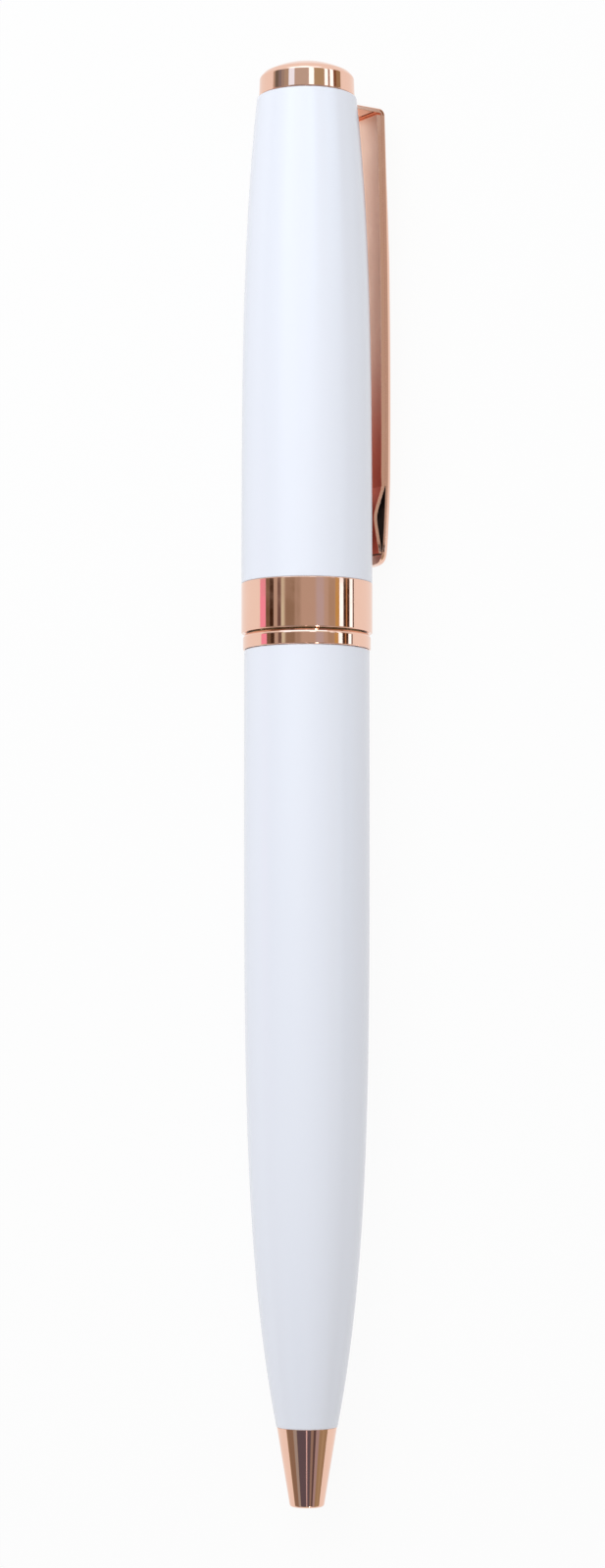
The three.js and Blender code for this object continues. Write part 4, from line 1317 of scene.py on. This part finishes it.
# Patches of the room: angles in degrees across the pen, span along it, width of the soft edges, colour
ROOM = [
    (-92, 97, WHOLE, 3.0, WALL),
    (-99, 99, BY_TIP, 3.0, (0.38, 0.32, 0.21)),
    (-99, -86, BY_TIP, 6.0, (0.47, 0.39, 0.28)),
    (-86, -57, BY_TIP, 6.0, (0.29, 0.225, 0.17)),
    (-57, -42, BY_TIP, 5.0, (0.40, 0.42, 0.42)),
    (-42, 17, BY_TIP, 4.0, DUSK),
    (-3.5, 0.5, BY_TIP, 2.0, (0.95, 0.80, 0.86)),
    (17, 27, BY_TIP, 3.0, (0.33, 0.28, 0.25)),
    (27, 38, BY_TIP, 3.0, (0.12, 0.09, 0.10)),
    (38, 52, BY_TIP, 5.0, (0.41, 0.37, 0.42)),
    (66, 76, BY_TIP, 4.0, (0.44, 0.38, 0.25)),
    (-93.5, -77, BY_BAND, 2.0, PINK),
    (-77, -69, BY_BAND, 2.0, BROWN),
    (-69, -60.5, BY_BAND, 2.0, DARK),
    (-53, -46, BY_BAND, 2.0, (0.17, 0.115, 0.11)),
    (-46, -39, BY_BAND, 1.5, GREY),
    (-39, -20, BY_BAND, 7.0, DIM_WALL),
    (-20, -11, BY_BAND, 7.0, (0.42, 0.36, 0.30)),
    (16, 30, BY_BAND, 7.0, MAUVE),
    (38, 51, BY_BAND, 5.0, (0.46, 0.38, 0.29)),
    (51, 59, BY_BAND, 2.0, GOLD),
    (59, 67, BY_BAND, 1.5, GLARE),
    (67, 80, BY_BAND, 1.5, DARK),
    (72.5, 75, BY_BAND, 1.0, (0.55, 0.30, 0.14)),
    (80.5, 87.5, BY_BAND, 1.5, GLARE),
    (87.5, 96, BY_BAND, 1.5, DARK),
    (-84, -72, BY_CROWN, 2.0, SLATE),
    (-73, -64, BY_CROWN, 4.0, (0.26, 0.26, 0.29)),
    (-64, -56, BY_CROWN, 4.0, (0.37, 0.35, 0.33)),
    (-56, -46, BY_CROWN, 3.0, (0.46, 0.43, 0.36)),
    (-45, -30, BY_CROWN, 2.0, (1.0, 1.35, 1.75)),
    (-30, 6, BY_CROWN, 4.0, (0.56, 0.54, 0.51)),
    (5, 17.5, BY_CROWN, 2.0, GLARE),
    (17.5, 43, BY_CROWN, 2.0, (0.47, 0.42, 0.28)),
    (44, 53, BY_CROWN, 1.5, GLARE),
    (53, 58, BY_CROWN, 1.5, (0.36, 0.24, 0.18)),
    (58, 68, BY_CROWN, 1.5, GLARE),
    (68, 77, BY_CROWN, 2.0, (0.24, 0.12, 0.06)),
    (77, 90, BY_CROWN, 2.0, (0.37, 0.29, 0.17)),
    (22.5, 26.5, (-62, -46), 1.5, LAMP),
    (-50, 16, (36, 88), 5.0, GLARE),
    (-68, 52, (50, 70), 5.0, GLARE),
    (-50, 40, (-89, -62), 5.0, (0.8, 0.78, 0.5)),
]
ROOM_RUN = 0.5
ROOM_LIGHT = 0.56


def background(tree, colour, strength):
    made = node(tree, "ShaderNodeBackground")
    feed(tree, colour, made.inputs["Color"])
    made.inputs["Strength"].default_value = strength
    return made.outputs[0]


def room():
    world = bpy.data.worlds.new("room")
    bpy.context.scene.world = world
    tree = emptied(world)
    panel = ceiling_panel()
    parts = node(tree, "ShaderNodeSeparateXYZ")
    wire(tree, node(tree, "ShaderNodeTexCoord").outputs["Generated"], parts.inputs[0])
    x, y, z = parts.outputs
    minus_y = math_node(tree, "MULTIPLY", y, -1.0)
    across = math_node(tree, "MULTIPLY", math_node(tree, "ARCTAN2", minus_y, z), degrees(1.0))
    squares = [math_node(tree, "MULTIPLY", side, side) for side in (y, z)]
    upright = math_node(tree, "SQRT", math_node(tree, "ADD", *squares))
    along = math_node(tree, "MULTIPLY", math_node(tree, "ARCTAN2", x, upright), degrees(1.0))
    colour = (1.0, 1.0, 1.0)
    for left, right, (near, far), edge, tint in ROOM:
        patch = placed(tree, panel, Across=across, Along=along, Left=left, Right=right, Near=near, Far=far,
                       Edge=edge, Run=ROOM_RUN)
        colour = mix_colours(tree, patch.outputs["Mask"], colour, tint)
    mirrored = background(tree, colour, 1.0)
    plain = background(tree, (1.0, 0.98, 0.95), ROOM_LIGHT)
    backdrop = background(tree, (1.0, 1.0, 1.0), 1.0)
    ray = node(tree, "ShaderNodeLightPath").outputs
    lit = mix_shaders(tree, ray["Is Glossy Ray"], plain, mirrored)
    camera_or_glass = math_node(tree, "MAXIMUM", ray["Is Camera Ray"], ray["Is Transmission Ray"])
    seen = mix_shaders(tree, camera_or_glass, lit, backdrop)
    wire(tree, seen, node(tree, "ShaderNodeOutputWorld").inputs["Surface"])


def soft_lamp(name, position, target, size, power, colour=(1.0, 1.0, 1.0)):
    data = bpy.data.lights.new(name, "AREA")
    data.shape = "DISK"
    data.size = size
    data.energy = power
    data.color = colour
    lamp = linked(name, data)
    lamp.location = position
    lamp.rotation_euler = (Vector(target) - Vector(position)).to_track_quat("-Z", "Y").to_euler()
    lamp.visible_glossy = False


table_top()
room()
soft_lamp("window_light", (0.12, 0.085, 0.25), (0.02, 0.0, 0.006), 0.3, 0.535, (0.9, 0.95, 1.0))
soft_lamp("side_fill", (0.05, -0.30, 0.30), (0.03, 0.0, 0.0), 0.4, 0.1)

# Camera: a phone held over the lower barrel, tilted a little towards the crown
CAMERA_STATION = 45.0
CAMERA_HEIGHT = 330.0
CAMERA_SIDE = 0.42
CAMERA_TILT = radians(3.983)
PHOTO_HEIGHT = 1600
FOCAL_PIXELS = 3543.85
SENSOR = 36.0


def camera():
    data = bpy.data.cameras.new("camera")
    data.sensor_width = SENSOR
    data.lens = FOCAL_PIXELS * SENSOR / PHOTO_HEIGHT
    data.clip_start = 0.01
    made = linked("camera", data)
    right = Vector((0, -1, 0))
    up = Vector((cos(CAMERA_TILT), 0, sin(CAMERA_TILT)))
    back = right.cross(up)
    turn = Matrix((right, up, back)).transposed().to_4x4()
    stand = PEN_AXIS + Vector((CAMERA_STATION, CAMERA_SIDE, CAMERA_HEIGHT)) * MM
    made.matrix_world = Matrix.Translation(stand) @ turn
    bpy.context.scene.camera = made


camera()
bpy.context.scene.view_settings.view_transform = "Standard"
